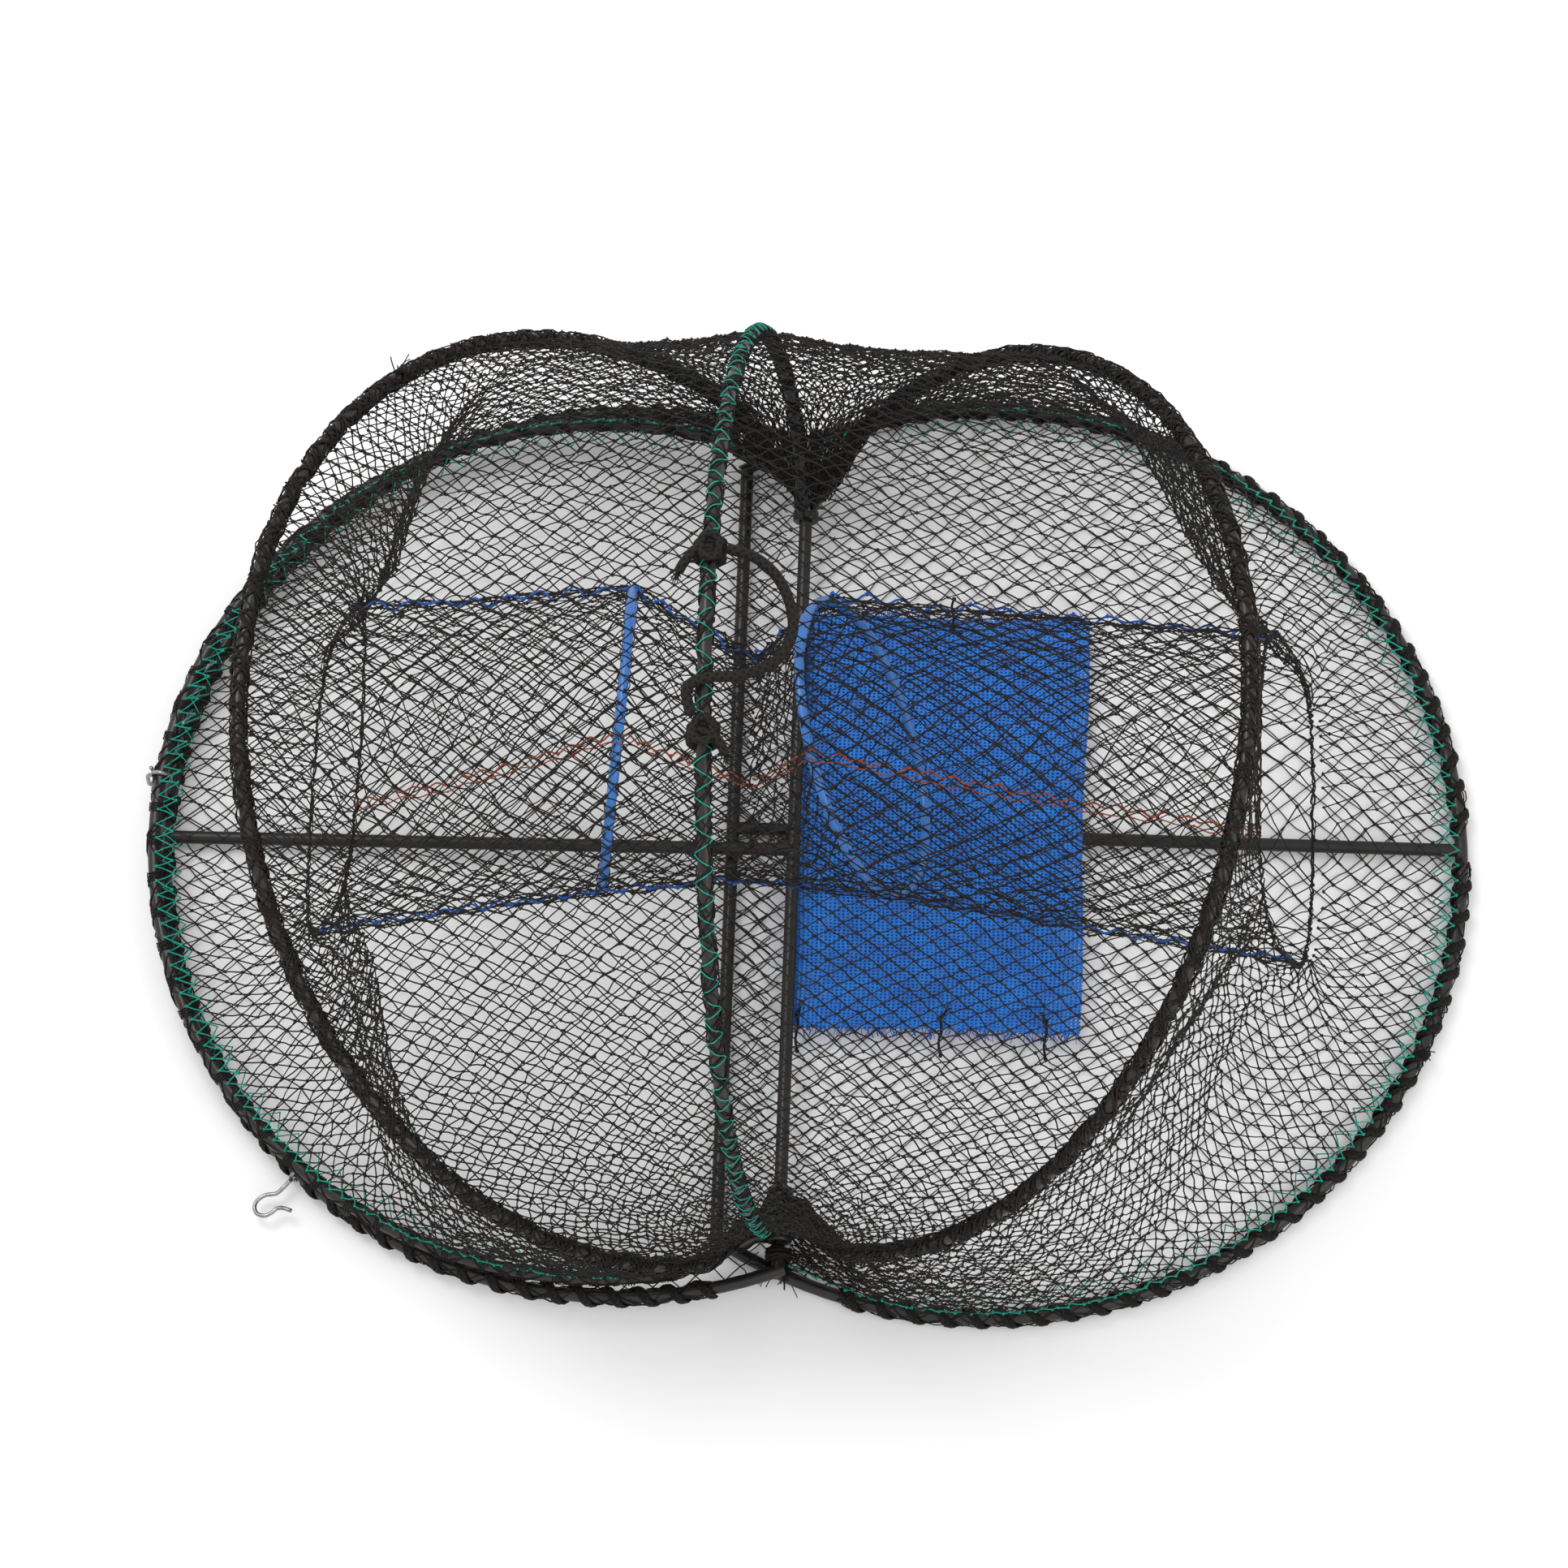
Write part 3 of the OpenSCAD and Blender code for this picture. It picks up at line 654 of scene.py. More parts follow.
def ruled(c0, c1, slack=0.0, g0=4.3, g1=4.3):
    def fn(s_, t_):
        p, q = on(c0, s_), on(c1, s_)
        d = np.linalg.norm(q - p, axis=-1, keepdims=True)
        k0, k1 = np.minimum(g0 / d, 0.3), 1 - np.minimum(g1 / d, 0.3)
        k = (k0 + (k1 - k0) * (np.clip(t_, -1.05, 1.05)[..., None] + 1) / 2)
        r_ = p + (q - p) * k
        # the net hangs in a shallow dip between its hoops
        dip = slack * np.sin(np.pi * np.clip(k, 0, 1)) * np.minimum(1, d / 200)
        inward = unit(np.array([HX, HY, 120.0]) - r_)
        return r_ + inward * dip
    return fn


top_left = ruled(HOOP_CURVE["left"], HOOP_CURVE["middle"], 6)
top_right = ruled(HOOP_CURVE["middle"], HOOP_CURVE["right"], 6)
COLS = 118


def speckle(seed, share=0.35):
    def mat_of(i, j, s_, t_):
        g = np.random.default_rng(seed)
        return (g.random(len(i)) < share).astype(int)
    return mat_of


knit("left_top_net", top_left, COLS, 17, 1, mat_of=speckle(1))
knit("right_top_net", top_right, COLS, 18, 2, mat_of=speckle(2))


def round_sq(c, s_):
    p = 0.62
    return np.sign(c) * np.abs(c) ** p, np.sign(s_) * np.abs(s_) ** p


def left_mouth(a_, k=1.0):
    q0, q1 = round_sq(np.cos(a_), np.sin(a_))
    return np.stack([-281 + 20 * q1 * k, HY + MOUTH_Y * q0 * k, 145 + MOUTH_H * q1 * k], -1)


def right_mouth(a_, k=1.0):
    q0, q1 = round_sq(np.cos(a_), np.sin(a_))
    return np.stack([285 - 20 * q1 * k, HY + MOUTH_Y * q0 * k, 145 + MOUTH_H * q1 * k], -1)


MS, MT = 0.17, 0.46  # half size of the mouth in the panel's own s and t


def side_panel(lower, upper, mouth, g0, g1):
    flat = ruled(lower, upper, 0, g0, g1)

    def fn(s_, t_):
        s_, t_ = np.asarray(s_, float), np.asarray(t_, float)
        k = np.maximum(np.maximum(np.abs(s_), np.abs(t_)), 1e-6)
        qs, qt = s_ / k, t_ / k
        k0 = 1 / np.maximum(np.abs(qs) / MS, np.abs(qt) / MT)
        lam = np.clip((k - k0) / (1 - k0), -0.3, 1.05)
        rs, rt = qs * k0 / MS, qt * k0 / MT
        a_ = np.arctan2(rt, rs)
        outer = flat(qs, qt)
        inner = mouth(a_)
        # away from the mouth the panel stays nearer to the straight net between the rods
        straight = flat(s_, t_)
        dished = inner + (outer - inner) * lam[..., None]
        w = np.clip(1.25 - np.abs(s_) * 1.9, 0, 1)[..., None]
        w = w * w * (3 - 2 * w)
        w = np.where(lam[..., None] < 0.02, 1.0, w)
        return straight * (1 - w) + dished * w

    def keep(s_, t_, p):
        return ~((np.abs(s_) < MS * 0.98) & (np.abs(t_) < MT * 0.98))
    return fn, keep


left_side, left_keep = side_panel(HOOP_CURVE["door"], HOOP_CURVE["left"], left_mouth, 4.6, 4.3)
right_side, right_keep = side_panel(A_CURVE, HOOP_CURVE["right"], right_mouth, 7.2, 4.3)


def green_first(seed):
    def mat_of(i, j, s_, t_):
        g = np.random.default_rng(seed)
        m_ = (g.random(len(i)) < 0.35).astype(int)
        return np.where(j <= 1, 2, m_)
    return mat_of


knit("door_net", left_side, COLS, 17, 3, keep=left_keep, mat_of=green_first(3))
knit("right_side_net", right_side, COLS, 20, 4, keep=right_keep, mat_of=green_first(4))


# ---- funnels and their seams
def ring_p(x, a_, r_, b_, c_):
    b_, c_ = math.radians(b_), math.radians(c_)
    y_, z_ = r_ * np.cos(a_), r_ * np.sin(a_)
    u_ = z_ * math.sin(b_)
    return np.stack([x + u_ * math.cos(c_) - y_ * math.sin(c_),
                     RING_Y + y_ * math.cos(c_) + u_ * math.sin(c_), RING_Z + z_ * math.cos(b_)], -1)


def waist_p(x, a_):
    return np.stack([np.full_like(a_, x), -2 + 70 * np.cos(a_), 165 + 34 * np.sin(a_)], -1)


WRAP_R = RING_R + RING_D / 2 + 0.5


def funnel(mouth, rx, b_, c_, wx):
    def fn(s_, t_):
        a_ = np.asarray(s_, float) * 2 * np.pi
        k = np.clip((np.asarray(t_, float) + 1) / 2, -0.02, 1.02)[..., None]
        m_, r_, w_ = mouth(a_), ring_p(rx, a_, WRAP_R, b_, c_), waist_p(wx, a_)
        cut = 0.66
        k1 = np.clip(k / cut, 0, 1)
        k2 = np.clip((k - cut) / (1 - cut), 0, 1.1)
        out = np.where(k < cut, m_ + (r_ - m_) * k1, r_ + (w_ - r_) * k2)
        droop = 7 * np.sin(np.pi * k1) * (k < cut) + 4 * np.sin(np.pi * np.clip(k2, 0, 1)) * (k >= cut)
        level = np.zeros_like(droop)
        return out - np.concatenate([level, level, droop * np.clip(np.sin(a_), 0, 1)[..., None]], -1)
    return fn


fun_left = funnel(left_mouth, *RINGS["left"], -32.5)
fun_right = funnel(right_mouth, *RINGS["right"], -31.5)
knit("funnel_left", fun_left, 40, 15, 5, wrap=True, mat_of=speckle(5), edge_fix=False, jit=(1.6, 1.6, 2.2))
knit("funnel_right", fun_right, 40, 19, 6, wrap=True, mat_of=speckle(6), edge_fix=False, jit=(1.6, 1.6, 2.2))


def seam(node, fn, a_deg, mat, t0=-1.0, t1=1.0, amp=2.2, period=14.0, rad=0.5):
    """A row of coloured twine that zigzags along a funnel."""
    t_ = np.linspace(t0, t1, 200)
    base = fn(np.full_like(t_, a_deg / 360), t_)
    d = lengths(base)
    k = max(int(d[-1] / (period / 2)), 4)
    at = np.linspace(0, d[-1], k + 1)
    pts = points_at(base, d, at)
    tan = unit(np.gradient(pts, axis=0))
    side = unit(np.cross(tan, [0.15, 0.25, 1.0]))
    g = np.random.default_rng(int(a_deg) + mat)
    zigzag = np.where(np.arange(k + 1) % 2 == 0, 1, -1) + 0.5 * g.normal(size=k + 1)
    pts = pts + side * (amp * zigzag)[:, None]
    pts[:, 2] += 0.8
    spread_path(node, catmull(pts, 3), rad, mat)
    spread_knots(node, pts[::2], rad * 2.2, mat)


for node, fn in (("funnel_left", fun_left), ("funnel_right", fun_right)):
    seam(node, fn, 30 if node == "funnel_left" else 12, 3, rad=0.8, amp=2.8, period=20)
    seam(node, fn, 184, 3, amp=1.6, rad=0.75, period=17)
    seam(node, fn, 106, 4, amp=1.6, rad=0.6)
    seam(node, fn, 109, 4, amp=0.9, rad=0.45, period=19)

# the seam round each mouth, where the funnel is laced to its side panel
for node, mouth in (("funnel_left", left_mouth), ("funnel_right", right_mouth)):
    a_ = np.linspace(0, 2 * np.pi, 241)
    for r_, k_, m_ in ((0.8, 1.0, 0), (0.5, 0.985, 1), (0.5, 1.015, 1)):
        g = np.random.default_rng(int(k_ * 1000))
        p = mouth(a_, k_) + 0.7 * g.normal(size=(241, 3)) * np.array([1, 0.4, 0.4])
        p[-1] = p[0]
        spread_path(node, p, r_ * 0.8, m_)
    p = mouth(a_)
    wind = p + 1.3 * np.stack([np.cos(a_ * 60), np.sin(a_ * 60) * 0.5, np.sin(a_ * 60)], -1)
    spread_path(node, wind, 0.3, 0, 4)

# lacing round each ring
for hand, (rx, b_, c_) in RINGS.items():
    a_ = np.linspace(0, 2 * np.pi, 641)
    rr_ = RING_R + (RING_D / 2 + 0.7) * np.cos(a_ * 34)
    p = ring_p(rx, a_, rr_, b_, c_)
    p[:, 0] += (RING_D / 2 + 0.7) * np.sin(a_ * 34)
    spread_path(f"funnel_{hand}", p, 0.33, 1, 4)

SOFT_SLOT = "netting"
for (node, sec, band), soup in sorted(CELLS.items()):
    o = soup.build(f"{node}_s{sec}_b{band:02d}", NETS, smooth=True, slot=SOFT_SLOT)
    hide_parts(node)
    fold_blend(o)

# ---- entrance rings
for hand, (rx, b_, c_) in RINGS.items():
    node = f"ring_{hand}"
    n_ = 180
    a_ = np.linspace(0, 2 * np.pi, n_ + 1)
    wob = 1.2 * np.sin(2 * a_ + 0.6) + 0.6 * np.sin(3 * a_)
    path = ring_p(rx, a_, RING_R + wob, b_, c_)
    path[-1] = path[0]
    sides = 16
    t_ = frames(path)[0]
    # a ring's own radial direction is a turning-free side vector
    w_ = unit(path - np.array([rx, RING_Y, RING_Z]))
    e_ = np.cross(t_, w_)
    e_[-1] = e_[0]
    ang = 2 * np.pi * np.arange(sides) / sides
    rad = np.full(n_ + 1, RING_D / 2 - 0.1)
    lap = np.abs(((a_ - 0.9 + np.pi) % (2 * np.pi)) - np.pi) < 0.16
    rad[lap] = RING_D / 2 + 0.55
    turn = np.cos(ang)[None, :, None] * w_[:, None] + np.sin(ang)[None, :, None] * e_[:, None]
    v = path[:, None] + rad[:, None, None] * turn
    mid = (path[:-1] + path[1:]) / 2
    sec, band = place(mid)
    for key in np.unique(sec * 100 + band):
        idx = np.where((sec * 100 + band) == key)[0]
        soup = Soup()
        for run in np.split(idx, np.where(np.diff(idx) > 1)[0] + 1):
            i0, i1 = run[0], run[-1] + 1
            vv = v[i0:i1 + 1].reshape(-1, 3)
            soup.add(vv, tube_quads(i1 - i0 + 1, sides), 0)
        o = soup.build(f"{node}_s{key // 100}_b{key % 100:02d}", [HOSE], slot="hose")
        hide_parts(node)
        fold_blend(o)

# ---- smooth hoops with their eyes
def lathe_y(soup, c, ri, ro, w, mat=0, sides=40, rnd=0.8):
    """A ring round an axis along Y, with rounded edges."""
    h = w / 2
    prof = [(ri, -h + rnd * 0.5), (ri + rnd * 0.5, -h), (ro - rnd, -h), (ro, -h + rnd), (ro, h - rnd),
            (ro - rnd, h), (ri + rnd * 0.5, h), (ri, h - rnd * 0.5)]
    a_ = 2 * np.pi * np.arange(sides) / sides
    v = np.array([[[c[0] + r_ * math.cos(t), c[1] + y_, c[2] + r_ * math.sin(t)] for r_, y_ in prof]
                  for t in a_])
    k = len(prof)
    i, j = np.arange(sides)[:, None], np.arange(k)[None]
    i2, j2 = (i + 1) % sides, (j + 1) % k
    f = np.stack([i * k + j, i2 * k + j, i2 * k + j2, i * k + j2], -1).reshape(-1, 4)
    soup.add(v.reshape(-1, 3), f, mat)


def rod_path(name):
    rad, v0, ang, ue = HOOPS[name]
    fa = math.acos((FLARE_V - v0) / rad)
    fu = rad * math.sin(fa)
    leg = [(6.5, ue), (11, ue), (LEG_V, ue + 0.8), (LEG_V + 5, ue + 3.6), (FLARE_V - 8, fu - 3.6)]
    arc = [(v0 + rad * math.cos(fa * (1 - k / 90)), rad * math.sin(fa * (1 - k / 90))) for k in range(181)]
    back_ = [(v_, -u_) for v_, u_ in leg[::-1]]
    return in_plane(np.array(leg + arc + back_), ang)


BODY_OF = {"door": "door", "left": "left_upper", "middle": "middle", "right": "right_upper"}
for name in HOOPS:
    s = Soup()
    add_sweep(s, rod_path(name), ROD_R, sides=18)
    for sg in (-1, 1):
        lathe_y(s, (HX, HY + sg * HOOPS[name][3], HZ), ROD_R + 0.07, 8.0, 7.0)
    fixed(s, f"{name}_hoop_rod", [ROD], "coated_rod", BODY_OF[name], f"{name}_hoop")

for n in ("right_base_hoop", "right_chord_bar", "right_radial_bar",
          "left_base_hoop", "left_chord_bar", "left_radial_bar"):
    o = bpy.data.objects.get(n)
    if o is None:
        o = [q for q in bpy.data.objects if q.name.startswith(n)][0]
    for sl in o.material_slots:
        sl.material = ROD

# ---- strands, lashings and windings
def winding(soup, path, rho, pitch, ra, rb, mat, sides=8, per=14, phase=0.0, wob=0.0, seed=0, hand=1):
    """A flat cord wound round a rod."""
    d = lengths(path)
    n_ = max(int(d[-1] / pitch * per), 8)
    at = np.linspace(0, d[-1], n_)
    c = points_at(path, d, at)
    t_, w_, e_ = frames(c)
    g = np.random.default_rng(seed)
    th = hand * 2 * np.pi * at / pitch + phase
    kn = max(int(d[-1] / 30), 4)
    th = th + wob * np.interp(at, np.linspace(0, d[-1], kn), g.normal(size=kn))
    radial = np.cos(th)[:, None] * w_ + np.sin(th)[:, None] * e_
    add_sweep(soup, c + rho * radial, ra, rb, sides=sides, mat=mat, side_vec=radial)


def strands(soup, path, count, rho, rad, pitch, mats, seed, sides=4, per=9, loose=0.0):
    """Loose netting twine that runs round and along a rod."""
    g = np.random.default_rng(seed)
    d = lengths(path)
    for k in range(count):
        p_ = pitch * (0.6 + 0.9 * g.random()) * (1 if g.random() < 0.55 else -1)
        n_ = max(int(d[-1] / abs(p_) * per), 40)
        at = np.linspace(0, d[-1], n_)
        c = points_at(path, d, at)
        t_, w_, e_ = frames(c)
        kn = max(int(d[-1] / 22), 4)
        rr_ = np.interp(at, np.linspace(0, d[-1], kn), rho + loose * np.abs(g.normal(size=kn)))
        th = 2 * np.pi * at / p_ + 6.28 * g.random()
        th = th + np.interp(at, np.linspace(0, d[-1], kn), 0.5 * g.normal(size=kn))
        q = c + rr_[:, None] * (np.cos(th)[:, None] * w_ + np.sin(th)[:, None] * e_)
        soup.add(*bars(q[:-1], q[1:], rad * (0.8 + 0.5 * g.random()), sides), mats[k % len(mats)])


def arc_a(f0, f1):
    f = np.radians(np.linspace(f0, f1, max(int(abs(f1 - f0) * 3), 8)))
    return right_arc(f, LASH_R)


def arc_b(f0, f1):
    f = np.radians(np.linspace(f0, f1, max(int(abs(f1 - f0) * 3), 8)))
    return in_plane(np.stack([LEFT_V + LEFT_R * np.cos(f), LEFT_R * np.sin(f)], 1), LEFT_A)


s = Soup()
RS = math.degrees(math.asin(RADIAL_Y / RIGHT_R))
for k, (f0, f1) in enumerate(((RS + 1.6, 105.8), (-105.8, RS - 1.6))):
    pa = arc_a(f0, f1)
    winding(s, pa, 5.45, 18.5, 1.25, 2.9, 0, phase=1.0 + k, wob=0.25, seed=k)
    strands(s, pa, 7, 4.6, 0.42, 46, [1, 2, 1], 11 + k, loose=0.6)
fixed(s, "right_base_lashing", [LASH, NET, NET2, GREEN], "cord", "right_base", "right_lashing")

CS = math.degrees(math.asin((CLIP_Y - HY) / LEFT_R))
s = Soup()
LEFT_RUNS = ((CS + 1.1, 102.8), (1.6, CS - 1.1), (-CLIP_A + 1.1, -1.6), (-102.8, -CLIP_A - 1.1))
for k, (f0, f1) in enumerate(LEFT_RUNS):
    pb = arc_b(f0, f1)
    winding(s, pb, 5.45, 18.5, 1.25, 2.9, 0, phase=0.4 + k, wob=0.25, seed=5 + k)
    strands(s, pb, 7, 4.6, 0.42, 46, [1, 2, 1], 31 + k, loose=0.5)
fixed(s, "left_base_lashing", [LASH, NET, NET2], "cord", "left_base", "left_lashing")

# netting wound round the upper hoops, and the lacing on the middle and door hoops
for name, cnt, rho in (("left", 13, 4.75), ("right", 13, 4.75), ("middle", 7, 4.5), ("door", 4, 4.4)):
    p = resample(rod_path(name), np.linspace(0.008, 0.992, 700))
    s = Soup()
    strands(s, p, cnt, rho, 0.48, 34, [0, 1, 0], 41 + cnt + len(name), loose=0.75 if cnt > 10 else 0.3)
    if cnt > 10:
        winding(s, p, 5.0, 11.5, 0.5, 0.75, 1, sides=5, per=10, wob=0.8, seed=3)
        winding(s, p, 5.2, 15.0, 0.5, 0.7, 0, sides=5, per=10, wob=0.8, seed=4, hand=-1)
    if name == "middle":
        d = lengths(p)
        k = int(d[-1] / 8.2)
        at = np.linspace(0, d[-1], k)
        c = points_at(p, d, at)
        t_, w_, e_ = frames(c)
        g = np.random.default_rng(9)
        ang_m = math.radians(HOOPS["middle"][2])
        nrm = np.array([-math.sin(ang_m), 0, math.cos(ang_m)])
        out = np.cross(t_, nrm)
        out = np.where(np.sum(out * (c - np.array([HX, HY, HZ])), 1, keepdims=True) < 0, -out, out)
        zz = np.where(np.arange(k) % 2 == 0, 1.0, -1.0) * (4.6 + 0.8 * g.random(k))
        q = c + nrm * zz[:, None] + out * 1.4
        mid_ = (q[:-1] + q[1:]) / 2 + (out[:-1] + out[1:]) / 2 * 4.0
        full = np.empty((2 * k - 1, 3))
        full[0::2], full[1::2] = q, mid_
        add_sweep(s, catmull(full, 3), 0.38, sides=6, mat=2)
    if name == "door":
        g = np.random.default_rng(19)
        for f_ in np.linspace(0.03, 0.97, 46):
            i = int(f_ * 699)
            if abs(p[i, 1] - CLIP_Y) < 9 and p[i, 0] < -300:
                continue
            seg = p[max(i - 2, 0):i + 3]
            winding(s, seg, 4.7, 1.6, 0.42, 0.42, 1, sides=5, per=12, seed=i)
    if name == "door":
        winding(s, p, 4.55, 26.0, 0.4, 0.6, 1, sides=5, per=10, wob=0.6, seed=14)
    fixed(s, f"{name}_hoop_binding", [NET, NET2, GREEN], "netting", BODY_OF[name])

# green lacing that joins the first row of netting to the base hoop and the door hoop
def lacing(name, body, path, inward, amp, step, seed):
    g = np.random.default_rng(seed)
    d = lengths(path)
    k = int(d[-1] / step)
    at = np.linspace(0, d[-1], k) + g.normal(size=k) * 0.5
    c_ = points_at(path, d, at)
    n_ = points_at(inward, d, at)
    c_ = c_ + n_ * (np.where(np.arange(k) % 2 == 0, 1.0, -1.0) * (amp + 0.7 * g.normal(size=k)))[:, None]
    s = Soup()
    s.add(*bars(c_[:-1], c_[1:], 0.4, 5), 0)
    s.add(*blobs(c_, 0.7, seed), 0)
    fixed(s, name, [GREEN], "netting", body)


f_ = np.radians(np.linspace(-103, 103, 900))
rad_dir = np.stack([np.cos(f_), np.sin(f_), 0 * f_], 1)
lacing("right_base_lacing", "right_base",
       np.array([HX + RIGHT_V, 0, 9.5]) + rad_dir * (RIGHT_R - 12.0), rad_dir, 5.0, 9.0, 7)
rad, v0, ang, _ = HOOPS["door"]
f_ = np.radians(np.linspace(-98, 98, 900))
pth = in_plane(np.stack([v0 + (rad - 9.5) * np.cos(f_), (rad - 9.5) * np.sin(f_)], 1), ang, -1.5)
pt2 = in_plane(np.stack([v0 + (rad - 8.5) * np.cos(f_), (rad - 8.5) * np.sin(f_)], 1), ang, -1.5)
lacing("door_lacing", "door", pth, pt2 - pth, 5.2, 8.5, 8)

# ---- base nets
def flat_net(name, node, body, cen_v, rad_, v_min, put, seed):
    g = np.random.default_rng(seed)
    ii, jj = np.meshgrid(np.arange(-40, 48), np.arange(-42, 43), indexing="ij")
    ok = (ii + jj) % 2 == 0
    i, j = ii[ok], jj[ok]
    v_ = cen_v + i * 8.5 + 2.0 * np.sin(j * 0.11 + seed)
    u_ = j * 7.5 + 1.6 * np.sin(i * 0.13 + 1)
    v_ = v_ + 1.0 * g.normal(size=len(v_)) * 0.7
    u_ = u_ + 1.0 * g.normal(size=len(u_)) * 0.7
    idx = {(a_, b_): k for k, (a_, b_) in enumerate(zip(i.tolist(), j.tolist()))}
    inside = (np.hypot(v_ - cen_v, u_) < rad_) & (v_ > v_min)
    s = Soup()
    p0, p1 = [], []
    for (a_, b_), k in idx.items():
        for db in (-1, 1):
            m_ = idx.get((a_ + 1, b_ + db))
            if m_ is None or not (inside[k] or inside[m_]):
                continue
            A0, A1 = np.array([v_[k], u_[k]]), np.array([v_[m_], u_[m_]])
            if not inside[k]:
                A0, A1, kk = A1, A0, m_
            if not (inside[k] and inside[m_]):
                lo_, hi_ = 0.0, 1.0
                for _ in range(10):
                    md = (lo_ + hi_) / 2
                    q = A0 + (A1 - A0) * md
                    if math.hypot(q[0] - cen_v, q[1]) < rad_ and q[0] > v_min:
                        lo_ = md
                    else:
                        hi_ = md
                A1 = A0 + (A1 - A0) * lo_
                if lo_ < 0.05:
                    continue
            p0.append(A0)
            p1.append(A1)
    p0, p1 = np.array(p0), np.array(p1)
    mid_ = (p0 + p1) / 2 + g.normal(size=p0.shape) * 0.35
    h0 = np.zeros(len(p0))
    A3, M3, B3 = put(p0, h0), put(mid_, g.normal(size=len(p0)) * 0.12), put(p1, h0)
    mats = (g.random(len(p0)) < 0.35).astype(int)
    for x_, y_ in ((A3, M3), (M3, B3)):
        s.add(*bars(x_, y_, TWINE_R, 4), np.repeat(mats, 4))
    kp = put(np.stack([v_[inside], u_[inside]], 1), np.zeros(inside.sum()))
    s.add(*blobs(kp, 0.85, seed), 0)
    fixed(s, name, [NET, NET2], "netting", body, node)


flat_net("base_netting_right", "base_net_right", "right_base", RIGHT_V, RIGHT_R - 4.5, -CHORD_GAP + 4.5,
         lambda q, h: np.stack([HX + q[:, 0], q[:, 1], 1.7 + h], 1), 51)
flat_net("base_netting_left", "base_net_left", "left_base", LEFT_V, LEFT_R - 4.5, 12.0,
         lambda q, h: in_plane(q, LEFT_A, 5.2) + np.stack([0 * h, 0 * h, h], 1), 52)


# ---- bindings at the hinge, with frayed ends
def fray(soup, at, dirn, count, length, spreadf, seed, mat=0, rad=0.32, z_min=0.6):
    g = np.random.default_rng(seed)
    at, dirn = np.asarray(at, float), unit(np.asarray(dirn, float))
    for k in range(count):
        d = unit(dirn + spreadf * g.normal(size=3))
        bend_ = 0.8 * spreadf * g.normal(size=3)
        l_ = length * (0.45 + 0.6 * g.random())
        t_ = np.linspace(0, 1, 6)[:, None]
        q = (at + 0.8 * g.normal(size=3) + d * l_ * t_ + bend_ * l_ * 0.5 * t_ ** 2
             + np.array([0, 0, -0.15]) * l_ * t_ ** 2)
        q[:, 2] = np.maximum(q[:, 2], z_min)
        soup.add(*bars(q[:-1], q[1:], rad, 4), mat)


CROSS_U = math.sqrt(RIGHT_R ** 2 - RIGHT_V ** 2)
s = Soup()
for sg in (-1, 1):
    b_, e_y = HY + sg * 255.5, sg * (CROSS_U + 1)
    yy = np.linspace(b_ - 3.2, b_ + 3.2, 20)
    bar = np.stack([np.full(20, HX), yy, np.full(20, HZ)], 1)
    winding(s, bar, 6.3, 2.6, 1.9, 1.4, 0, sides=8, per=26, seed=1)
    lump = np.stack([np.full(30, HX), np.linspace(b_, e_y, 30), np.full(30, 7.6)], 1)
    winding(s, lump, 5.1, 4.2, 1.5, 2.1, 0, sides=8, per=24, seed=2)
    th = np.linspace(0, 2 * np.pi, 41)
    for k in range(5):
        y_ = b_ + (k - 2) * 1.35
        lo_ = np.stack([HX + (6.2 + 0.5 * math.sin(k)) * np.cos(th), y_ + 0.7 * np.sin(th * 2 + k),
                        13.8 + 12.2 * np.sin(th)], 1)
        lo_[:, 2] = np.maximum(lo_[:, 2], 1.8)
        add_sweep(s, lo_, 1.35, sides=7, mat=0, cap=False)
    strands(s, lump, 10, 5.6, 0.5, 9, [1, 2], 61 + sg, loose=1.1)
    fray(s, (HX + 3, e_y - sg * 4, 9), (0.7, sg * 0.9, 0.1), 26, 20, 0.5, 71 + sg, 1)
    fray(s, (HX - 4, e_y - sg * 5, 9), (-0.8, sg * 0.6, 0.2), 16, 16, 0.5, 73 + sg, 2)
    fray(s, (HX, b_, 11), (0.1, sg * 1.0, 0.3), 14, 22, 0.45, 75 + sg, 1)
s.add(*blobs([[HX, HY + 255.5, 8]], 3.0, 3), 0)
fixed(s, "hinge_bindings", [LASH, NET, NET2], "cord", "right_base", "hinge_lashings")


# ---- knots of the carrying rope
def knot(soup, y_, tail, seed):
    m_ = mid_at(y_)
    g = np.random.default_rng(seed)
    th = np.linspace(0, 2 * np.pi, 49)
    for k, (dy, tilt) in enumerate(((-4.0, 0.5), (0.2, -0.2), (4.2, 0.35))):
        lo_ = np.stack([m_[0] + 6.9 * np.cos(th), m_[1] + dy + 2.2 * tilt * np.sin(th + k),
                        m_[2] + 6.9 * np.sin(th)], 1)
        add_sweep(soup, lo_, 2.9, sides=12, mat=0, cap=False)
    lo_ = np.stack([m_[0] + 5.2 * np.sin(th), m_[1] + 7.0 * np.cos(th),
                    m_[2] + 9.3 + 1.0 * np.cos(2 * th)], 1)
    add_sweep(soup, lo_, 2.7, sides=12, mat=0, cap=False)
    q = catmull([[m_[0] + a_, m_[1] + b_, m_[2] + c_] for a_, b_, c_ in [(-3, 0, 8.5)] + tail], 8)
    add_sweep(soup, q, 2.9, sides=12, mat=0)
    d = unit(q[-1] - q[-3])
    fray(soup, q[-1], d, 22, 7, 0.35, seed, 1, 0.3, z_min=-1e3)


s = Soup()
knot(s, 42, [(-9, -3, 7.5), (-14, -9, 5.5), (-17, -14, 3.5)], 81)
knot(s, -66, [(7, -4, 8), (11, -9, 6.5), (13, -13, 5.0)], 82)
fixed(s, "rope_knots", [ROPE, NET2], "rope", "middle", "handle_knots")


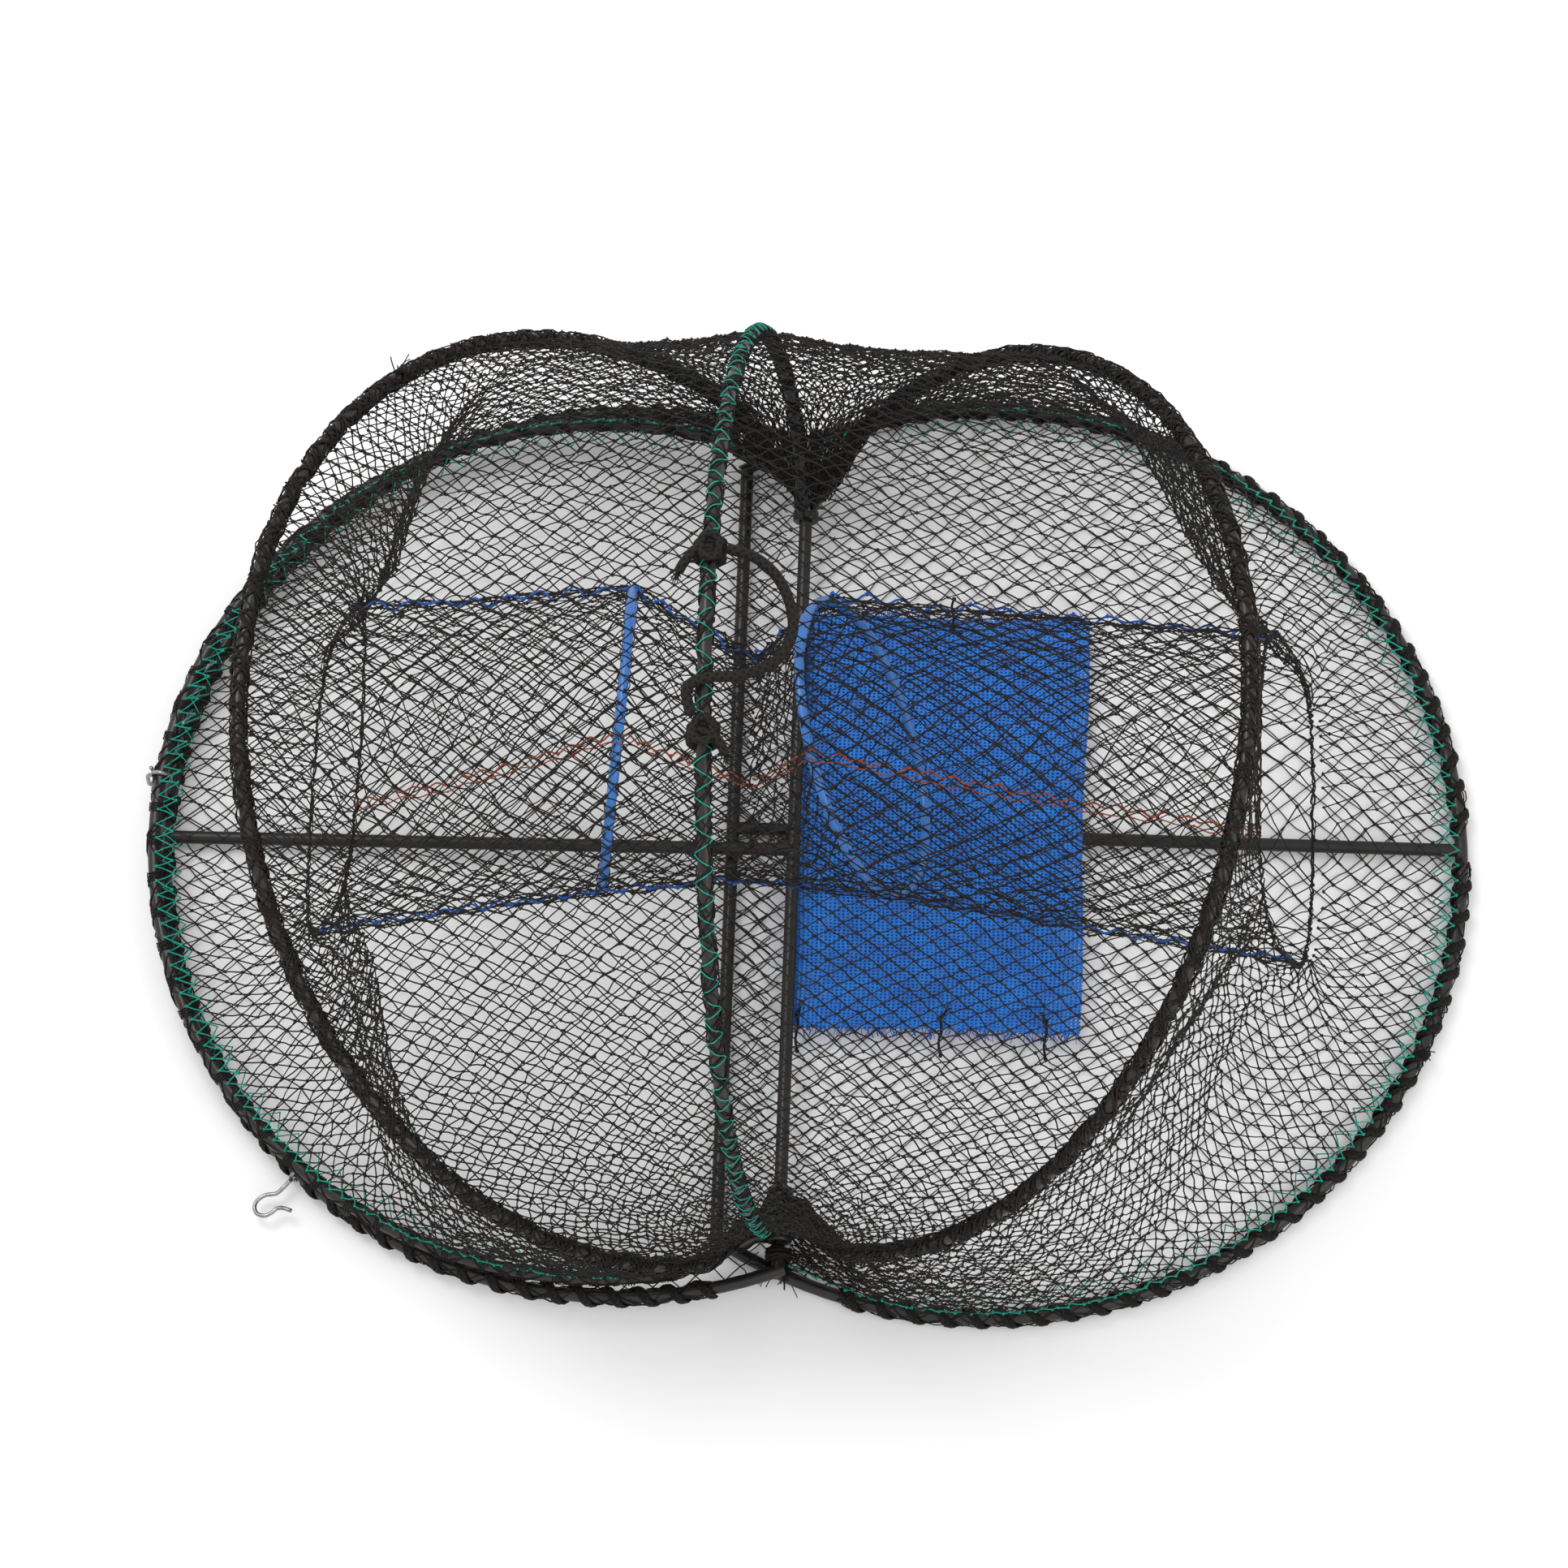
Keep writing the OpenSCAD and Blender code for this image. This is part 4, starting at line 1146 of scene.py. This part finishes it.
# ---- clips
def clip_world(ang, v_c, u_c, turn, pts):
    pts = np.asarray(pts, float)
    c_, s_ = math.cos(turn), math.sin(turn)
    vu = np.stack([v_c + pts[:, 0] * c_ - pts[:, 1] * s_, u_c + pts[:, 0] * s_ + pts[:, 1] * c_], 1)
    a_ = math.radians(ang)
    base_ = in_plane(vu, ang)
    return base_ + pts[:, 2:3] * np.array([[-math.sin(a_), 0, math.cos(a_)]])


def clip(name, node, body, ang, v_c, u_c, turn, pts):
    th = np.linspace(0.4, 2 * np.pi * 1.02 + 0.3, 34)
    coil = np.stack([5.35 * np.cos(th), np.linspace(-1.5, 1.5, 34), 5.35 * np.sin(th)], 1)
    s = Soup()
    add_sweep(s, clip_world(ang, v_c, u_c, turn, coil), 1.25, sides=12)
    add_sweep(s, catmull(clip_world(ang, v_c, u_c, turn, pts), 5), 1.28, sides=14)
    fixed(s, name, [STEEL], "clip_wire", body, node)


WIRE_R = 1.3
clip_in = ROD_R + WIRE_R + 0.5
side_pts = [(clip_in, 0, 0), (ROD_R + 3.8, 0, 1.2), (ROD_R + 5, 0, 4), (ROD_R + 5.4, 0, 12),
            (ROD_R + 5.2, 0, 18), (ROD_R + 4.2, 1, 21.5), (ROD_R + 3.6, 3.5, 23.6),
            (ROD_R + 3.6, 6.5, 23.8), (ROD_R + 4.2, 8.6, 21.5), (ROD_R + 5.4, 9, 14)]
front_pts = [(clip_in, 0, 0), (17, 0, 0), (20.5, 1.6, 0), (24, 4.4, 0), (29, 5.6, 0), (33.5, 4.2, 0),
             (35.6, 0, 0), (33.5, -4.2, 0), (29.5, -6, 0), (25, -6.6, 0), (22.4, -9, 0), (20, -14, 0)]
rad, v0, ang, _ = HOOPS["door"]
u = CLIP_Y - HY
clip("hooked_clip", "clip_side", "side_clip", ang, v0 + math.sqrt(rad * rad - u * u), u,
     math.asin(u / rad), side_pts)
ca = math.radians(-CLIP_A)
clip("loose_clip", "clip_front", "front_clip", LEFT_A, LEFT_V + LEFT_R * math.cos(ca),
     LEFT_R * math.sin(ca), ca, front_pts)

# ---- bait bag, a flat knitted sleeve
nu, nv = 90, 100
x0, y0 = HX + 1, BAG_Y - BAG_L / 2


def bag_height(x_, y_):
    return (0.45 * np.sin(x_ * 0.045 + 0.6) * np.sin(y_ * 0.03) + 0.3 * np.sin(x_ * 0.16 + y_ * 0.05)
            + 0.22 * np.sin(y_ * 0.19 - x_ * 0.03))


flat_w = 2 * BAG_W
us = np.linspace(0, flat_w, 2 * nu)
vs = np.linspace(0, BAG_L, nv)
U, V = np.meshgrid(us, vs, indexing="ij")
top = U <= BAG_W
xx = np.where(top, U, flat_w - U) + 1.2 * np.sin(V * 0.035)
h = bag_height(xx, V)
near_fold = np.exp(-np.abs(U - BAG_W) / 4)
side = np.where(U < BAG_W, 1.0, -1.0) * (1 - near_fold)
zz = 12.7 + 0.75 * side + 0.55 * h
yy = y0 + V + 1.2 * np.sin(xx * 0.05) * (V / BAG_L - 0.5)
P = np.stack([x0 + np.minimum(xx, BAG_W), yy, zz], -1)
s = Soup()
i, j = np.arange(2 * nu - 1)[:, None], np.arange(nv - 1)[None]
f = np.stack([i * nv + j, (i + 1) * nv + j, (i + 1) * nv + j + 1, i * nv + j + 1], -1).reshape(-1, 4)
s.add(P.reshape(-1, 3), f, 0, np.stack([U, V], -1).reshape(-1, 2))
bag = s.build("bait_bag_mesh", [BAG], slot="bag_mesh")
s = Soup()
g = np.random.default_rng(91)
ys = np.linspace(y0 + 1, y0 + BAG_L - 1, 120)
hem_x = x0 + 1.6 + 1.2 * np.sin((ys - y0) * 0.035)
add_sweep(s, np.stack([hem_x, ys, np.full(120, 13.6) + 0.3 * np.sin(ys * 0.1)], 1), 2.3, 0.9, sides=8, mat=0,
          side_vec=np.tile([[1.0, 0.05, 0]], (120, 1)))
for k in range(150):
    for yy_, sg in ((y0, -1), (y0 + BAG_L, 1)):
        x_ = x0 + 3 + (BAG_W - 6) * g.random()
        l_ = 2.5 + 4.5 * g.random()
        a0 = np.array([x_, yy_, 12.9 + 0.5 * g.random()])
        a1 = a0 + np.array([1.5 * g.normal(), sg * l_ * 0.5, 0.2])
        a2 = a1 + np.array([1.5 * g.normal(), sg * l_ * 0.5, -0.2])
        s.add(*bars([a0, a1], [a1, a2], 0.25, 4), 1)
hem = s.build("bait_bag_hem", [HEM, BLUE], slot="bag_mesh")
for o in (bag, hem):
    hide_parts("bait_bag")
    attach(o, "right_base")

s = Soup()
for bx, by, sg in ((92, y0 + BAG_L, 1), (92, y0, -1), (156, y0, -1), (5, y0, -1)):
    x_ = x0 + bx
    q = catmull([[x_, by - sg * 7, 14.4], [x_ + 0.8, by, 14.6], [x_ - 0.6, by + sg * 8, 12.0],
                 [x_ + 0.7, by + sg * 15, 8.0]], 6)
    add_sweep(s, q, 0.8, sides=8)
    s.add(*blobs([q[0], q[0] + [0.6, 0.4, 0.3], q[-1]], 1.7, 4), 0)
    fray(s, q[0], (0.2, -sg, 0.4), 5, 9, 0.5, int(bx) + int(sg), 0, 0.35, 12)
fixed(s, "bag_tie_strings", [NET2], "cord", "right_base", "bag_ties")

# short frayed twine ends left on the frame
s = Soup()
pt = hoop3("left", 17.0)
i = int(len(pt) * 0.735)
fray(s, pt[i] + [0, 0, 5], (0.1, 0.8, 0.6), 6, 16, 0.5, 95, 1, 0.4, -1e3)
fixed(s, "left_hoop_twine_end", [NET, NET2], "netting", "left_upper")
s = Soup()
f_ = math.radians(-24)
on_hoop = (HX + RIGHT_V + RIGHT_R * math.cos(f_), RIGHT_R * math.sin(f_), 12)
fray(s, on_hoop, (0.9, -0.4, 0.3), 8, 13, 0.45, 96, 1, 0.4)
fixed(s, "right_base_twine_end", [NET, NET2], "netting", "right_base")

# ---- floor and light
me = bpy.data.meshes.new("floor")
me.from_pydata([(-6, -6, 0), (6, -6, 0), (6, 6, 0), (-6, 6, 0)], [], [(0, 1, 2, 3)])
floor = bpy.data.objects.new("floor", me)
bpy.context.scene.collection.objects.link(floor)
m, nt, b = material("floor_card", (0.9, 0.9, 0.9), 0.7, spec=0.15)
c = coords(nt)
tint(nt, b, "Base Color", noise(nt, c, 3, 2), [(0.3, grey(0.88)), (0.7, grey(0.91))])
me.materials.append(m)

world = bpy.data.worlds.new("studio")
bpy.context.scene.world = world
world.use_nodes = True
bg = world.node_tree.nodes["Background"]
bg.inputs["Color"].default_value = (1, 1, 1, 1)
bg.inputs["Strength"].default_value = 1.0


def area(name, loc, size, power, target=(0, 0, 0.1)):
    l_ = bpy.data.lights.new(name, "AREA")
    l_.shape = "DISK"
    l_.size = size
    l_.energy = power
    o = bpy.data.objects.new(name, l_)
    o.location = loc
    o.rotation_mode = "QUATERNION"
    o.rotation_quaternion = (Vector(loc) - Vector(target)).to_track_quat("Z", "Y")
    bpy.context.scene.collection.objects.link(o)


area("key", (-1.2, 1.0, 2.6), 1.6, 34)
area("fill", (1.8, -1.4, 2.2), 2.2, 18)
bpy.context.scene.view_settings.view_transform = "Standard"
